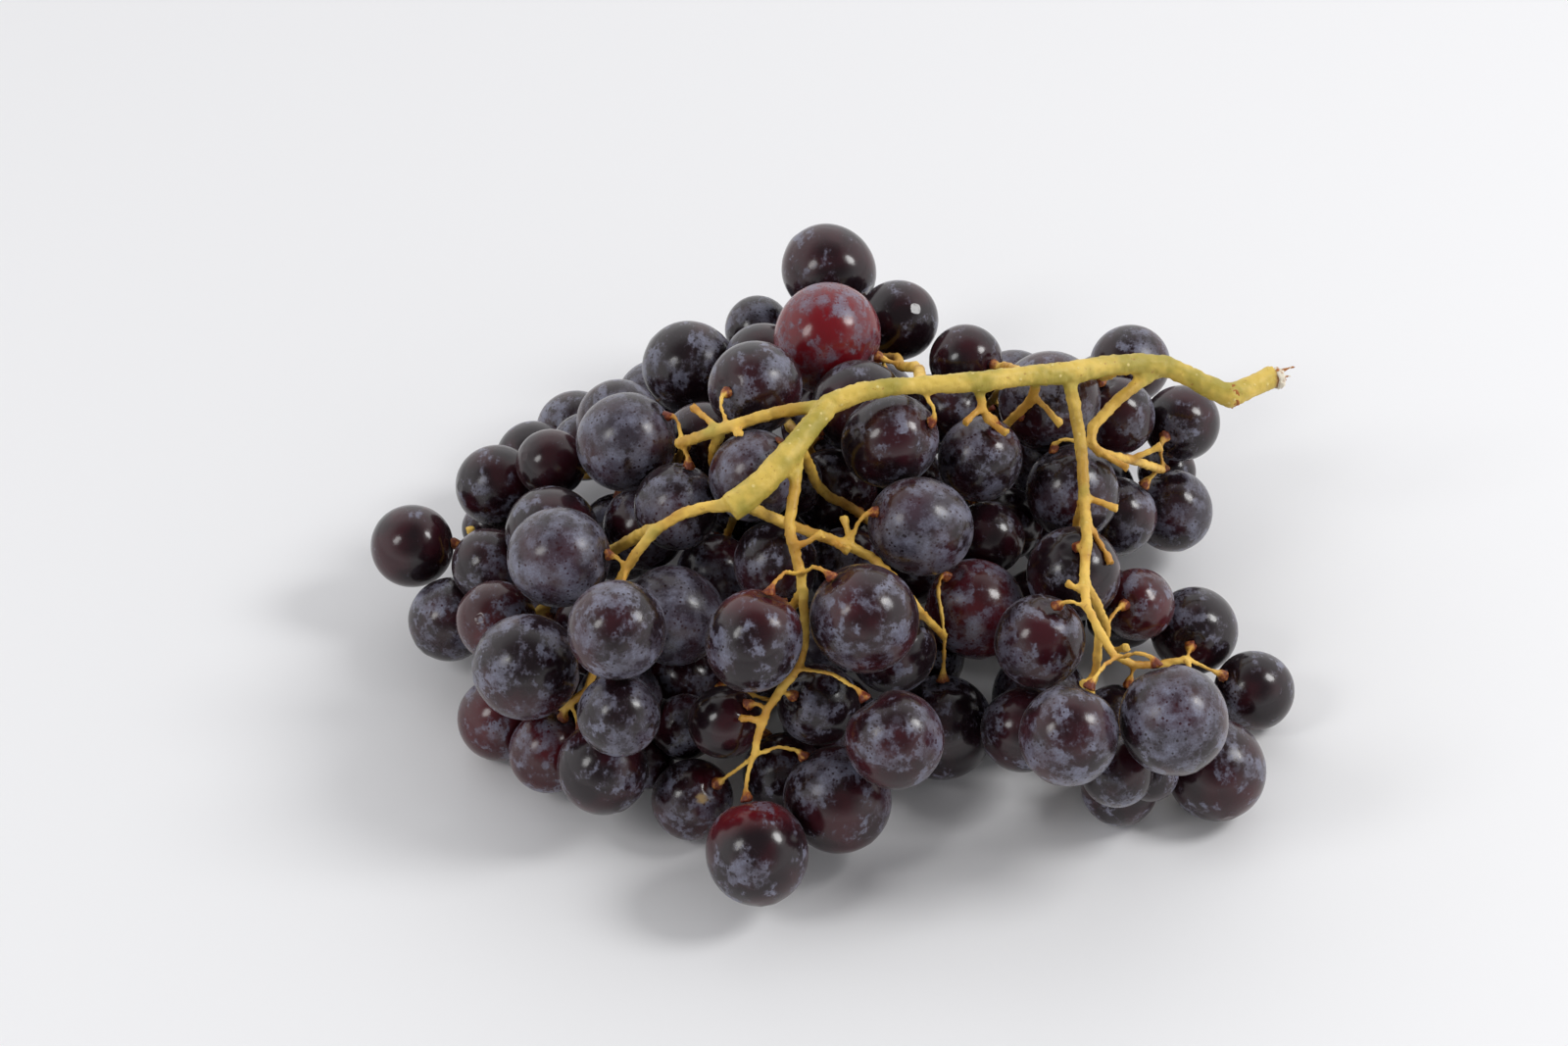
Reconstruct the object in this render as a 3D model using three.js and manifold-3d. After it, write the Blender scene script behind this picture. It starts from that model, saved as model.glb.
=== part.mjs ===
// A bunch of black table grapes, lying down as it was picked.
//
// Millimetres, +Z up, the table is z = 0 and the origin is on the table under the
// middle of the bunch. The main stem runs over the top of the bunch, from its cut end
// at +X to its blunt tip at -X, and the sprigs hang from it down among the berries.
// The stalk (stem, sprigs and berry stalks) grew as one piece and is one solid.
// Berries that are pressed tight against each other inside the bunch form clumps.

import * as THREE from 'three';
import { mergeVertices } from 'three/addons/utils/BufferGeometryUtils.js';
import Module from 'manifold-3d';

const wasm = await Module();
wasm.setup();

// ---- Driving dimensions -----------------------------------------------------------

const PIECE_GAP = 0.3; // air between the stalk and a berry
const BERRY_GAP = 0.1; // air between two berries that only touch
const BERRY_PRESS = 1.45; // how far two berries of a clump are pressed into each other
const TABLE_PRESS = 0.35; // how far a berry on the table is pressed flat
const TABLE_REACH = 1.5; // a berry this close to the table comes to rest on it
const BERRY_DETAIL = 1; // subdivision of the round berry

const SPRIG_TIP_DIAMETER = 2.0;
const BERRY_STALK_DIAMETER = 1.4;
const CROWN_DIAMETER = 3.4; // flared seat of the berry on its stalk
const CROWN_LENGTH = 2.6;
const STUB_DIAMETER = 1.9; // broken stalk of a lost berry, with its wider end
const STUB_END_DIAMETER = 2.7;

const STEM_SIDES = 9;
const SPRIG_SIDES = 6;
const BERRY_STALK_SIDES = 5;
const RING_SPACING = 6; // along the stem and the sprigs

const SETTLE_ROUNDS = 500;
const OUTER_SHARE = 0.12; // how readily an outer berry gives way, an inner one does fully

const BERRY_STALK_REACH = 26; // the longest way from a sprig to the skin of its berry
const BERRY_STALK_BEND = 0.45; // share of that way that leaves the berry straight
const SEAT_CONE = 0.35; // cosine of how far a seat may turn away from its sprig
const SEAT_DIRECTIONS = 60; // directions tried round a berry for its seat
const STALK_TRIALS = 8; // places tested along a berry stalk
const FOUL_COST = 30; // millimetres of way that 1 mm of running into a berry is worth
const STUB_NECK = 0.7; // share of a broken stalk before it widens
const UPRIGHT = 0.9; // a run this near to vertical is measured from another side
const WELD = 1e-4;

const BLACK_SKIN = new THREE.Color(0x40353f);
const RED_SKIN = new THREE.Color(0x6e1c24);
const STALK_COLOUR = 0xc0a04e;
const SKIN_ROUGHNESS = 0.38;
const STALK_ROUGHNESS = 0.6;

// ---- What the bunch is made of ----------------------------------------------------

// A berry: its middle before the bunch settles, its diameter, and where they are known
// the direction of its stalk from the middle and how red it stayed (0 black, 1 red).
function berry(x, y, z, diameter, { crown = null, red = 0 } = {}) {
  return {
    place: new THREE.Vector3(x, y, z),
    radius: diameter / 2,
    crown: crown && new THREE.Vector3(...crown).normalize(),
    red,
  };
}

// The main stem from its cut end to its blunt tip: place and diameter.
const STEM = [
  [104, 12, 52, 5.4],
  [99, 9, 52, 4.8],
  [94, 6, 52, 5.8],
  [88, 8, 54, 4.6],
  [80, 10, 57, 5.0],
  [70, 7, 60, 4.5],
  [59, 0, 64, 5.4],
  [50, -3, 66, 4.4],
  [40, -7, 68, 4.9],
  [28, -9, 69, 3.9],
  [20, -11, 70, 4.1],
  [10, -14, 69, 5.0],
  [4, -22, 67, 4.9],
  [0, -28, 66, 5.9],
  [-6, -34, 63, 6.0],
  [-11, -37, 61, 6.4],
];

// Each sprig: where it runs from the stem (or from another sprig), its diameter there,
// the broken stalks on it (from, to), its single berries and its clumps.
const SPRIGS = [
  {
    name: 'tail',
    diameter: 3.2,
    route: [[-26, -39, 57], [-29, -33, 50], [-34, -30, 43], [-41, -29, 36], [-50, -32, 27],
      [-56, -30, 20], [-61, -22, 16], [-62, -16, 14], [-66, -11, 17]],
    stubs: [[[-66, -11, 17], [-67, -7, 26]]],
    singles: [
      berry(-80, -6, 19, 18, { crown: [1, -0.1, 0.2] }),
      berry(-46, -36, 46, 21, { crown: [1, -0.2, 0.3] }),
    ],
    clumps: [
      {
        inner: [],
        outer: [berry(-70, -22, 11, 18), berry(-63, -17, 26, 16), berry(-47, -17, 35, 20)],
      },
      {
        inner: [],
        outer: [berry(-52, -55, 33, 22), berry(-60, -37, 29, 17, { red: 0.5 })],
      },
      {
        inner: [berry(-56, -4, 10, 19), berry(-51, -25, 10, 20)],
        outer: [berry(-62, 7, 25, 18), berry(-65, 9, 10, 12)],
      },
    ],
  },
  {
    name: 'front_left',
    diameter: 3.0,
    route: [[-11, -36, 61], [-18, -36, 60], [-26, -39, 57], [-31, -41, 50], [-34, -41, 43],
      [-37, -48, 35], [-40, -56, 28], [-46, -54, 21], [-50, -50, 18]],
    stubs: [],
    singles: [
      berry(-33, -70, 36, 17),
      berry(-33, -63, 53, 20),
    ],
    clumps: [
      {
        inner: [berry(-31, -51, 20, 18), berry(-38, -36, 26, 19), berry(-20, -54, 15, 14),
          berry(-44, -43, 9, 13), berry(-29, -59, 7, 11)],
        outer: [berry(-36, -69, 18, 19), berry(-49, -58, 11, 17, { red: 0.5 }),
          berry(-60, -46, 9, 18, { red: 0.6 })],
      },
    ],
  },
  {
    name: 'left_shoulder',
    diameter: 3.3,
    route: [[10, -14, 68], [3, -14, 67], [-4, -15, 66], [-13, -16, 63], [-22, -14, 57],
      [-20, -6, 50], [-26, -2, 36], [-33, 3, 30], [-42, 8, 27], [-51, 12, 20]],
    stubs: [[[-14, -15, 63], [-19, -8, 62]]],
    singles: [
      berry(-50, 3, 35, 15),
      berry(-33, -5, 49, 21, { crown: [0.8, 0.1, 0.6] }),
      berry(-7, -21, 56, 19, { crown: [-0.3, 0.3, 0.9] }),
      berry(-22, -21, 46, 18, { crown: [0.3, 0.4, 0.9] }),
    ],
    clumps: [
      {
        inner: [berry(-27, 27, 11, 20), berry(-27, 10, 22, 18), berry(-37, 0, 14, 19),
          berry(-29, -11, 30, 18)],
        outer: [berry(-35, 12, 39, 19), berry(-43, 18, 25, 15), berry(-57, 22, 17, 17),
          berry(-46, 36, 14, 18)],
      },
    ],
  },
  {
    name: 'left_shoulder_back',
    diameter: 2.4,
    route: [[-33, 3, 30], [-36, 9, 27], [-36, 17, 18], [-37, 26, 19]],
    stubs: [],
    singles: [],
    clumps: [],
  },
  {
    name: 'left_core',
    diameter: 2.8,
    route: [[-13, -16, 62], [-15, -13, 52], [-11, -12, 40], [-11, -8, 28], [-14, -8, 20]],
    stubs: [],
    singles: [],
    clumps: [
      {
        inner: [berry(-22, -20, 11, 20), berry(-5, -10, 9, 18), berry(-7, 5, 24, 20),
          berry(-14, -21, 27, 17)],
        outer: [berry(-18, 7, 39, 16)],
      },
    ],
  },
  {
    name: 'back_left',
    diameter: 3.0,
    route: [[9, -14, 67], [5, -8, 58], [5, -1, 46], [1, 10, 40], [-1, 20, 34], [-8, 30, 25], [-10, 44, 27]],
    stubs: [],
    singles: [
      berry(-6, 56, 26, 15),
      berry(-6, 2, 58, 20, { crown: [-0.6, -0.7, 0.5] }),
    ],
    clumps: [
      {
        inner: [berry(-10, 40, 11, 20), berry(-30, 50, 11, 20)],
        outer: [berry(-22, 41, 28, 21), berry(-3, 35, 34, 18)],
      },
    ],
  },
  {
    name: 'back_core',
    diameter: 2.3,
    route: [[1, 10, 39], [7, 10, 30], [8, 11, 24]],
    stubs: [],
    singles: [],
    clumps: [],
  },
  {
    name: 'back',
    diameter: 3.0,
    route: [[28, -9, 68], [28, 6, 60], [25, 15, 52], [24, 27, 44], [17, 36, 35], [20, 47, 32]],
    stubs: [],
    singles: [berry(25, 41, 42, 18)],
    clumps: [
      {
        inner: [berry(22, 45, 11, 20), berry(10, 45, 26, 18), berry(5, 57, 11, 20)],
        outer: [berry(10, 58, 42, 21)],
      },
      {
        inner: [],
        outer: [berry(16, 5, 49, 20), berry(9, 26, 51, 24, { crown: [0.9, -0.5, 0], red: 1 })],
      },
      {
        inner: [berry(-2, 20, 11, 20), berry(20, 22, 11, 20), berry(32, 22, 28, 18),
          berry(6, 18, 31, 19)],
        outer: [berry(40, 28, 43, 16, { crown: [0.7, -0.6, 0.4] })],
      },
    ],
  },
  {
    name: 'front',
    diameter: 3.0,
    route: [[3, -24, 66], [2, -33, 61], [1, -40, 58], [2, -44, 57], [4, -49, 50], [4, -56, 45],
      [4, -60, 42], [0, -64, 38], [-3, -67, 35], [-5, -71, 32], [-6, -74, 28]],
    stubs: [[[2, -44, 57], [8, -43, 60]], [[-4, -69, 33], [-9, -70, 35]]],
    singles: [
      berry(-5, -88, 15, 21, { crown: [-0.2, 0.8, 0.6], red: 0.7 }),
      berry(-19, -68, 10, 17, { crown: [0.6, -0.2, 0.8] }),
      berry(-6, -63, 50, 20, { crown: [0.3, 0.5, 0.8] }),
      berry(16, -57, 50, 22, { crown: [-0.6, 0.3, 0.8] }),
      berry(22, -75, 34, 20, { crown: [-0.6, 0.5, 0.7] }),
      berry(-12, -64, 27, 15, { crown: [0.6, -0.1, 0.8] }),
      berry(7, -60, 28, 17),
    ],
    clumps: [
      {
        inner: [berry(12, -45, 11, 20), berry(8, -38, 25, 17)],
        outer: [berry(-1, -61, 9, 17),
          berry(11, -75, 15, 22, { crown: [-0.6, 0.4, 0.7], red: 0.3 })],
      },
    ],
  },
  {
    name: 'front_core',
    diameter: 2.6,
    route: [[4, -49, 50], [0, -46, 38], [-4, -46, 26], [-8, -46, 16]],
    stubs: [],
    singles: [
      berry(-2, -32, 42, 18),
      berry(-23, -41, 34, 21),
      berry(-21, -39, 12, 17),
      berry(-2, -30, 11, 20),
    ],
    clumps: [],
  },
  {
    name: 'middle',
    diameter: 3.0,
    route: [[-9, -34, 60], [0, -33, 53], [10, -36, 51], [18, -38, 48], [24, -45, 46],
      [28, -48, 42], [33, -44, 31]],
    stubs: [[[9, -36, 51], [13, -41, 53]], [[14, -37, 50], [12, -31, 53]]],
    singles: [
      berry(28, -31, 50, 21, { crown: [-0.9, -0.1, 0.5] }),
      berry(23, -48, 32, 18),
    ],
    clumps: [
      {
        inner: [berry(27, -30, 11, 20)],
        outer: [berry(33, -51, 11, 22), berry(40, -34, 27, 21, { crown: [-0.6, 0.1, 0.8], red: 0.5 }),
          berry(43, -15, 32, 16)],
      },
    ],
  },
  {
    name: 'core',
    diameter: 3.0,
    route: [[3, -23, 65], [5, -19, 56], [8, -17, 46], [15, -14, 38], [23, -16, 31], [34, -18, 28]],
    stubs: [],
    singles: [
      berry(13, -21, 28, 17),
      berry(48, -2, 22, 16),
    ],
    clumps: [
      {
        inner: [berry(29, 3, 32, 16)],
        outer: [berry(11, -3, 32, 19), berry(0, -11, 43, 15)],
      },
    ],
  },
  {
    name: 'under_stem',
    diameter: 2.7,
    route: [[40, -7, 67], [41, -8, 62], [42, -9, 59]],
    stubs: [[[41, -8, 62], [37, -12, 61]], [[42, -9, 59], [46, -13, 59]]],
    singles: [
      berry(22, -12, 56, 20, { crown: [0.8, -0.1, 0.6] }),
      berry(41, -9, 48, 18, { crown: [0.3, 0.1, 0.9] }),
    ],
    clumps: [],
  },
  {
    name: 'under_core',
    diameter: 2.7,
    route: [[52, -2, 65], [52, 0, 57], [46, 1, 47], [42, 3, 36], [38, 3, 26]],
    stubs: [[[52, 0, 58], [58, -3, 52]]],
    singles: [
      berry(36, 13, 41, 15),
      berry(60, -7, 38, 20, { crown: [-0.4, 0.4, 0.8] }),
    ],
    clumps: [
      {
        inner: [berry(10, 2, 11, 20), berry(32, 5, 11, 20), berry(27, -12, 20, 19)],
        outer: [],
      },
    ],
  },
  {
    name: 'right_front',
    diameter: 3.4,
    route: [[59, 0, 63], [61, -6, 56], [62, -12, 51], [62, -21, 48], [62, -33, 48], [61, -41, 46],
      [61, -51, 47], [64, -60, 47], [66, -64, 46]],
    stubs: [[[62, -20, 48], [69, -23, 47]], [[62, -26, 48], [67, -35, 43]],
      [[61, -45, 45], [57, -44, 47]]],
    singles: [
      berry(60, -31, 36, 20, { crown: [0, -0.2, 1] }),
      berry(52, -50, 36, 19, { crown: [0.3, 0.1, 0.9] }),
      berry(77, -76, 41, 22, { crown: [-0.3, 0.7, 0.7] }),
      berry(56, -80, 41, 20, { crown: [0.4, 0.6, 0.7] }),
    ],
    clumps: [
      {
        inner: [berry(72, -47, 9, 18), berry(52, -40, 11, 20)],
        outer: [berry(49, -59, 19, 18), berry(68, -64, 8, 16), berry(76, -70, 19, 12),
          berry(66, -76, 26, 15)],
      },
    ],
  },
  {
    name: 'right_front_low',
    diameter: 2.6,
    route: [[61, -43, 46], [66, -43, 34], [67, -42, 25], [74, -42, 20], [84, -40, 20]],
    stubs: [[[68, -42, 24], [70, -48, 32]]],
    singles: [
      berry(74, -29, 25, 16, { crown: [-0.4, -0.6, 0.6] }),
      berry(99, -38, 10, 17),
      berry(89, -62, 11, 21, { red: 0.3 }),
    ],
    clumps: [],
  },
  {
    name: 'right_front_inner',
    diameter: 2.4,
    route: [[63, -57, 47], [63, -58, 38], [63, -56, 31], [61, -54, 21]],
    stubs: [[[63, -56, 32], [60, -62, 36]]],
    singles: [],
    clumps: [],
  },
  {
    name: 'right_front_core',
    diameter: 2.4,
    route: [[62, -20, 48], [61, -19, 37], [61, -19, 26], [62, -18, 19]],
    stubs: [],
    singles: [],
    clumps: [
      {
        inner: [berry(52, -17, 11, 20), berry(72, -15, 11, 17)],
        outer: [berry(88, -25, 12, 19)],
      },
    ],
  },
  {
    name: 'right_back',
    diameter: 3.3,
    route: [[80, 10, 56], [72, 4, 55], [64, -4, 50], [66, -7, 48], [73, -3, 42], [79, 3, 34], [82, 8, 28]],
    stubs: [[[66, -7, 48], [72, -11, 47]], [[73, -3, 42], [80, -1, 44]]],
    singles: [berry(86, 22, 29, 17, { crown: [-0.5, -0.8, 0.3] })],
    clumps: [
      {
        inner: [berry(60, 2, 9, 18), berry(57, 12, 24, 18)],
        outer: [berry(55, 11, 45, 22), berry(72, 0, 22, 17)],
      },
      {
        inner: [],
        outer: [berry(85, 9, 14, 18, { crown: [-0.2, 0.5, 0.8] }), berry(85, 25, 12, 13)],
      },
    ],
  },
  {
    name: 'right_back_far',
    diameter: 2.8,
    route: [[70, 7, 59], [68, 14, 50], [66, 26, 42], [66, 31, 30], [64, 28, 20]],
    stubs: [],
    singles: [berry(71, 17, 36, 17)],
    clumps: [
      {
        inner: [berry(60, 37, 11, 20), berry(70, 20, 9, 18), berry(50, 35, 28, 18), berry(42, 25, 11, 20),
          berry(75, 52, 11, 19)],
        outer: [berry(77, 42, 28, 18)],
      },
    ],
  },
  {
    name: 'right_core',
    diameter: 2.5,
    route: [[51, -2, 65], [48, 8, 58], [46, 16, 51], [47, 20, 42], [43, 25, 29]],
    stubs: [],
    singles: [berry(51, 50, 12, 13)],
    clumps: [],
  },
];

// ---- The stalk's centre lines -----------------------------------------------------

function curveThrough(places) {
  const points = places.map((place) => new THREE.Vector3(place[0], place[1], place[2]));
  return new THREE.CatmullRomCurve3(points, false, 'centripetal');
}

// A stem or sprig as a line of stations, each with its place and radius.
function stations(places, radiusAt) {
  const curve = curveThrough(places);
  const count = Math.max(3, Math.round(curve.getLength() / RING_SPACING));
  return Array.from({ length: count + 1 }, (_, i) => ({
    place: curve.getPoint(i / count),
    radius: radiusAt(i / count),
  }));
}

function stemRadius(t) {
  const along = t * (STEM.length - 1);
  const before = Math.min(Math.floor(along), STEM.length - 2);
  return THREE.MathUtils.lerp(STEM[before][3], STEM[before + 1][3], along - before) / 2;
}

function sprigRadius(sprig) {
  return (t) => THREE.MathUtils.lerp(sprig.diameter, SPRIG_TIP_DIAMETER, t) / 2;
}

const stemLine = stations(STEM, stemRadius);
const sprigLines = SPRIGS.map((sprig) => stations(sprig.route, sprigRadius(sprig)));
const skeleton = [stemLine, ...sprigLines].flat();

// ---- How the berries settle -------------------------------------------------------

// Every berry knows its clump and how readily it gives way.
const clumps = [];
for (const sprig of SPRIGS) {
  sprig.singles.forEach((one, i) => {
    clumps.push({ name: `${sprig.name}_berry_${i + 1}`, inner: [], outer: [one] });
  });
  sprig.clumps.forEach((group, i) => {
    clumps.push({ name: `${sprig.name}_clump_${i + 1}`, ...group });
  });
}
for (const clump of clumps) {
  clump.berries = [...clump.inner, ...clump.outer];
  clump.inner.forEach((one) => { one.give = 1; });
  clump.outer.forEach((one) => { one.give = OUTER_SHARE; });
}
const berries = clumps.flatMap((clump) => clump.berries);

function gapBetween(a, b) {
  return a.place.distanceTo(b.place) - a.radius - b.radius;
}

// In a clump, each berry is pressed against the nearest of those listed before it.
function bondsOf(clump) {
  return clump.berries.slice(1).map((one, i) => {
    const earlier = clump.berries.slice(0, i + 1);
    const gaps = earlier.map((other) => gapBetween(one, other));
    return [one, earlier[gaps.indexOf(Math.min(...gaps))]];
  });
}

// Moves two berries along the line between their middles until they are apart by gap.
function setGap(a, b, gap) {
  const away = b.place.clone().sub(a.place).normalize();
  const move = gap - gapBetween(a, b);
  a.place.addScaledVector(away, -move * a.give / (a.give + b.give));
  b.place.addScaledVector(away, move * b.give / (a.give + b.give));
}

function clearOfStalk(one) {
  for (const station of skeleton) {
    const away = one.place.clone().sub(station.place);
    const move = one.radius + station.radius + PIECE_GAP - away.length();
    if (move > 0) one.place.addScaledVector(away.normalize(), move);
  }
}

function restOnTable(one) {
  if (one.place.z - one.radius < TABLE_REACH) one.place.z = one.radius - TABLE_PRESS;
}

function settle() {
  const bonds = clumps.flatMap(bondsOf);
  const bonded = new Set(bonds.map(([a, b]) => `${berries.indexOf(a)} ${berries.indexOf(b)}`));
  const isBond = (i, j) => bonded.has(`${i} ${j}`) || bonded.has(`${j} ${i}`);
  for (let round = 0; round < SETTLE_ROUNDS; round++) {
    bonds.forEach(([a, b]) => setGap(a, b, -BERRY_PRESS));
    for (let i = 0; i < berries.length; i++) {
      for (let j = i + 1; j < berries.length; j++) {
        const tooClose = gapBetween(berries[i], berries[j]) < BERRY_GAP;
        if (tooClose && !isBond(i, j)) setGap(berries[i], berries[j], BERRY_GAP);
      }
    }
    berries.forEach(clearOfStalk);
    berries.forEach(restOnTable);
  }
}

// ---- Berry stalks -----------------------------------------------------------------

function spread(count) {
  const golden = Math.PI * (3 - Math.sqrt(5));
  return Array.from({ length: count }, (_, i) => {
    const z = 1 - (2 * i + 1) / count;
    const ring = Math.sqrt(1 - z * z);
    return new THREE.Vector3(ring * Math.cos(i * golden), ring * Math.sin(i * golden), z);
  });
}
const DIRECTIONS = spread(SEAT_DIRECTIONS);

// A berry stalk leaves its sprig, bends, and meets the berry square on.
function berryStalkCurve(root, one, crown) {
  const seat = one.place.clone().addScaledVector(crown, one.radius + PIECE_GAP);
  const reach = root.distanceTo(seat);
  const bend = seat.clone().addScaledVector(crown, reach * BERRY_STALK_BEND);
  return new THREE.QuadraticBezierCurve3(root, bend, seat);
}

// How deep a berry stalk would run into any berry, 0 when it is clear.
function fouling(curve, own) {
  let worst = 0;
  for (let i = 1; i <= STALK_TRIALS; i++) {
    const point = curve.getPoint(i / STALK_TRIALS);
    const nearSeat = i === STALK_TRIALS;
    const thick = nearSeat ? CROWN_DIAMETER / 2 : BERRY_STALK_DIAMETER / 2;
    for (const other of berries) {
      if (other === own && i > STALK_TRIALS - 2) continue;
      const depth = other.radius + thick + PIECE_GAP - point.distanceTo(other.place);
      worst = Math.max(worst, depth);
    }
  }
  return worst;
}

// The shortest clear way from the stalk to a berry.
function chooseBerryStalk(one) {
  let best = null;
  for (const station of skeleton) {
    const inward = station.place.clone().sub(one.place);
    if (inward.length() > one.radius + BERRY_STALK_REACH) continue;
    const straight = inward.clone().normalize();
    const around = DIRECTIONS.filter((way) => way.dot(straight) > SEAT_CONE);
    const crowns = one.crown ? [one.crown] : [straight, ...around];
    for (const crown of crowns) {
      const curve = berryStalkCurve(station.place, one, crown);
      const length = curve.getLength();
      const cost = length + FOUL_COST * fouling(curve, one);
      if (best === null || cost < best.cost) best = { cost, curve, length, root: station };
    }
  }
  return best;
}

// ---- Solids -----------------------------------------------------------------------

function solidOf(geometry) {
  geometry.deleteAttribute('normal');
  geometry.deleteAttribute('uv');
  const merged = mergeVertices(geometry, WELD);
  const mesh = new wasm.Mesh({
    numProp: 3,
    vertProperties: new Float32Array(merged.attributes.position.array),
    triVerts: new Uint32Array(merged.index.array),
  });
  return new wasm.Manifold(mesh);
}

function geometryOf(solid) {
  const mesh = solid.getMesh();
  const geometry = new THREE.BufferGeometry();
  geometry.setAttribute('position', new THREE.BufferAttribute(new Float32Array(mesh.vertProperties), 3));
  geometry.setIndex(new THREE.BufferAttribute(new Uint32Array(mesh.triVerts), 1));
  geometry.computeVertexNormals();
  return geometry;
}

// A closed tube: a cylinder bent along a curve, with its own radius at every ring.
function tube(curve, ringTimes, radii, sides) {
  const rings = ringTimes.length - 1;
  const geometry = new THREE.CylinderGeometry(1, 1, 1, sides, rings);
  const position = geometry.attributes.position;
  const axis = ringTimes.map((t) => curve.getPoint(t));
  const tangents = ringTimes.map((t) => curve.getTangent(t));
  const upright = Math.abs(tangents[0].z) > UPRIGHT;
  const reference = upright ? new THREE.Vector3(1, 0, 0) : new THREE.Vector3(0, 0, 1);
  const firstSide = new THREE.Vector3().crossVectors(tangents[0], reference).normalize();
  const sideways = [firstSide];
  for (let i = 1; i <= rings; i++) {
    const turned = sideways[i - 1].clone().addScaledVector(tangents[i], -sideways[i - 1].dot(tangents[i]));
    sideways.push(turned.normalize());
  }
  for (let i = 0; i < position.count; i++) {
    const ring = Math.round((position.getY(i) + 0.5) * rings);
    const across = new THREE.Vector3().crossVectors(tangents[ring], sideways[ring]);
    const point = axis[ring].clone()
      .addScaledVector(across, position.getX(i) * radii[ring])
      .addScaledVector(sideways[ring], position.getZ(i) * radii[ring]);
    position.setXYZ(i, point.x, point.y, point.z);
  }
  return solidOf(geometry);
}

function branch(line, sides) {
  const curve = new THREE.CatmullRomCurve3(line.map((station) => station.place), false, 'centripetal');
  const times = line.map((_, i) => i / (line.length - 1));
  return tube(curve, times, line.map((station) => station.radius), sides);
}

function berryStalk({ curve, length }) {
  const flare = Math.min(0.5, CROWN_LENGTH / length);
  const thin = BERRY_STALK_DIAMETER / 2;
  const times = [0, (1 - flare) / 2, 1 - flare, 1];
  const radii = [thin, thin, thin, CROWN_DIAMETER / 2];
  return tube(curve, times, radii, BERRY_STALK_SIDES);
}

function stub([from, to]) {
  const curve = curveThrough([from, to]);
  const neck = STUB_DIAMETER / 2;
  return tube(curve, [0, STUB_NECK, 1], [neck, neck, STUB_END_DIAMETER / 2], BERRY_STALK_SIDES);
}

function berryBall(one, extra = 0) {
  const ball = new THREE.IcosahedronGeometry(one.radius + extra, BERRY_DETAIL);
  ball.translate(one.place.x, one.place.y, one.place.z);
  return solidOf(ball);
}

function belowTable() {
  const SIZE = 400;
  const DEPTH = 40;
  const slab = new THREE.BoxGeometry(SIZE, SIZE, DEPTH);
  slab.translate(0, 0, -DEPTH / 2);
  return solidOf(slab);
}

// ---- Building the bunch -----------------------------------------------------------

settle();

const table = belowTable();
const stalkParts = [branch(stemLine, STEM_SIDES)];
sprigLines.forEach((line) => stalkParts.push(branch(line, SPRIG_SIDES)));
SPRIGS.flatMap((sprig) => sprig.stubs).forEach((ends) => stalkParts.push(stub(ends)));
const berryStalks = berries.map(chooseBerryStalk);
berryStalks.forEach((way) => stalkParts.push(berryStalk(way)));

// Where a berry is squeezed against a passing stalk, the stalk is trimmed clear of it.
let stalkSolid = wasm.Manifold.union(stalkParts);
for (const one of berries) {
  const squeezed = stalkSolid.intersect(berryBall(one, PIECE_GAP));
  if (squeezed.volume() > 0) stalkSolid = stalkSolid.subtract(berryBall(one, PIECE_GAP));
}

const bunch = new THREE.Group();
const stalkMaterial = new THREE.MeshStandardMaterial({
  color: STALK_COLOUR,
  roughness: STALK_ROUGHNESS,
  metalness: 0,
});
const stalk = new THREE.Mesh(geometryOf(stalkSolid), stalkMaterial);
stalk.name = 'stalk';
bunch.add(stalk);

for (const clump of clumps) {
  const solid = wasm.Manifold.union(clump.berries.map((one) => berryBall(one))).subtract(table);
  const red = clump.berries.reduce((sum, one) => sum + one.red, 0) / clump.berries.length;
  const skin = new THREE.MeshStandardMaterial({
    color: BLACK_SKIN.clone().lerp(RED_SKIN, red),
    roughness: SKIN_ROUGHNESS,
    metalness: 0,
  });
  const mesh = new THREE.Mesh(geometryOf(solid), skin);
  mesh.name = clump.name;
  bunch.add(mesh);
}

const box = new THREE.Box3().setFromObject(bunch);
const middle = box.getCenter(new THREE.Vector3());
bunch.position.set(-middle.x, -middle.y, -box.min.z);

export default bunch;
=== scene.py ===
"""A bunch of black table grapes lying on a pale table, just picked.

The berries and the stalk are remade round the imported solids: each berry where its
solid is, turned so that its pit meets its own berry stalk, and the stalk grown soft
and knobbly over the solid one. Lengths are in metres unless a name ends in _mm.
"""

import logging
import math
import random
from dataclasses import dataclass, field
from enum import Enum
from typing import Callable

import bmesh
import bpy
import numpy as np
from mathutils import Matrix, Vector
from mathutils.bvhtree import BVHTree
from mathutils.kdtree import KDTree


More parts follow.
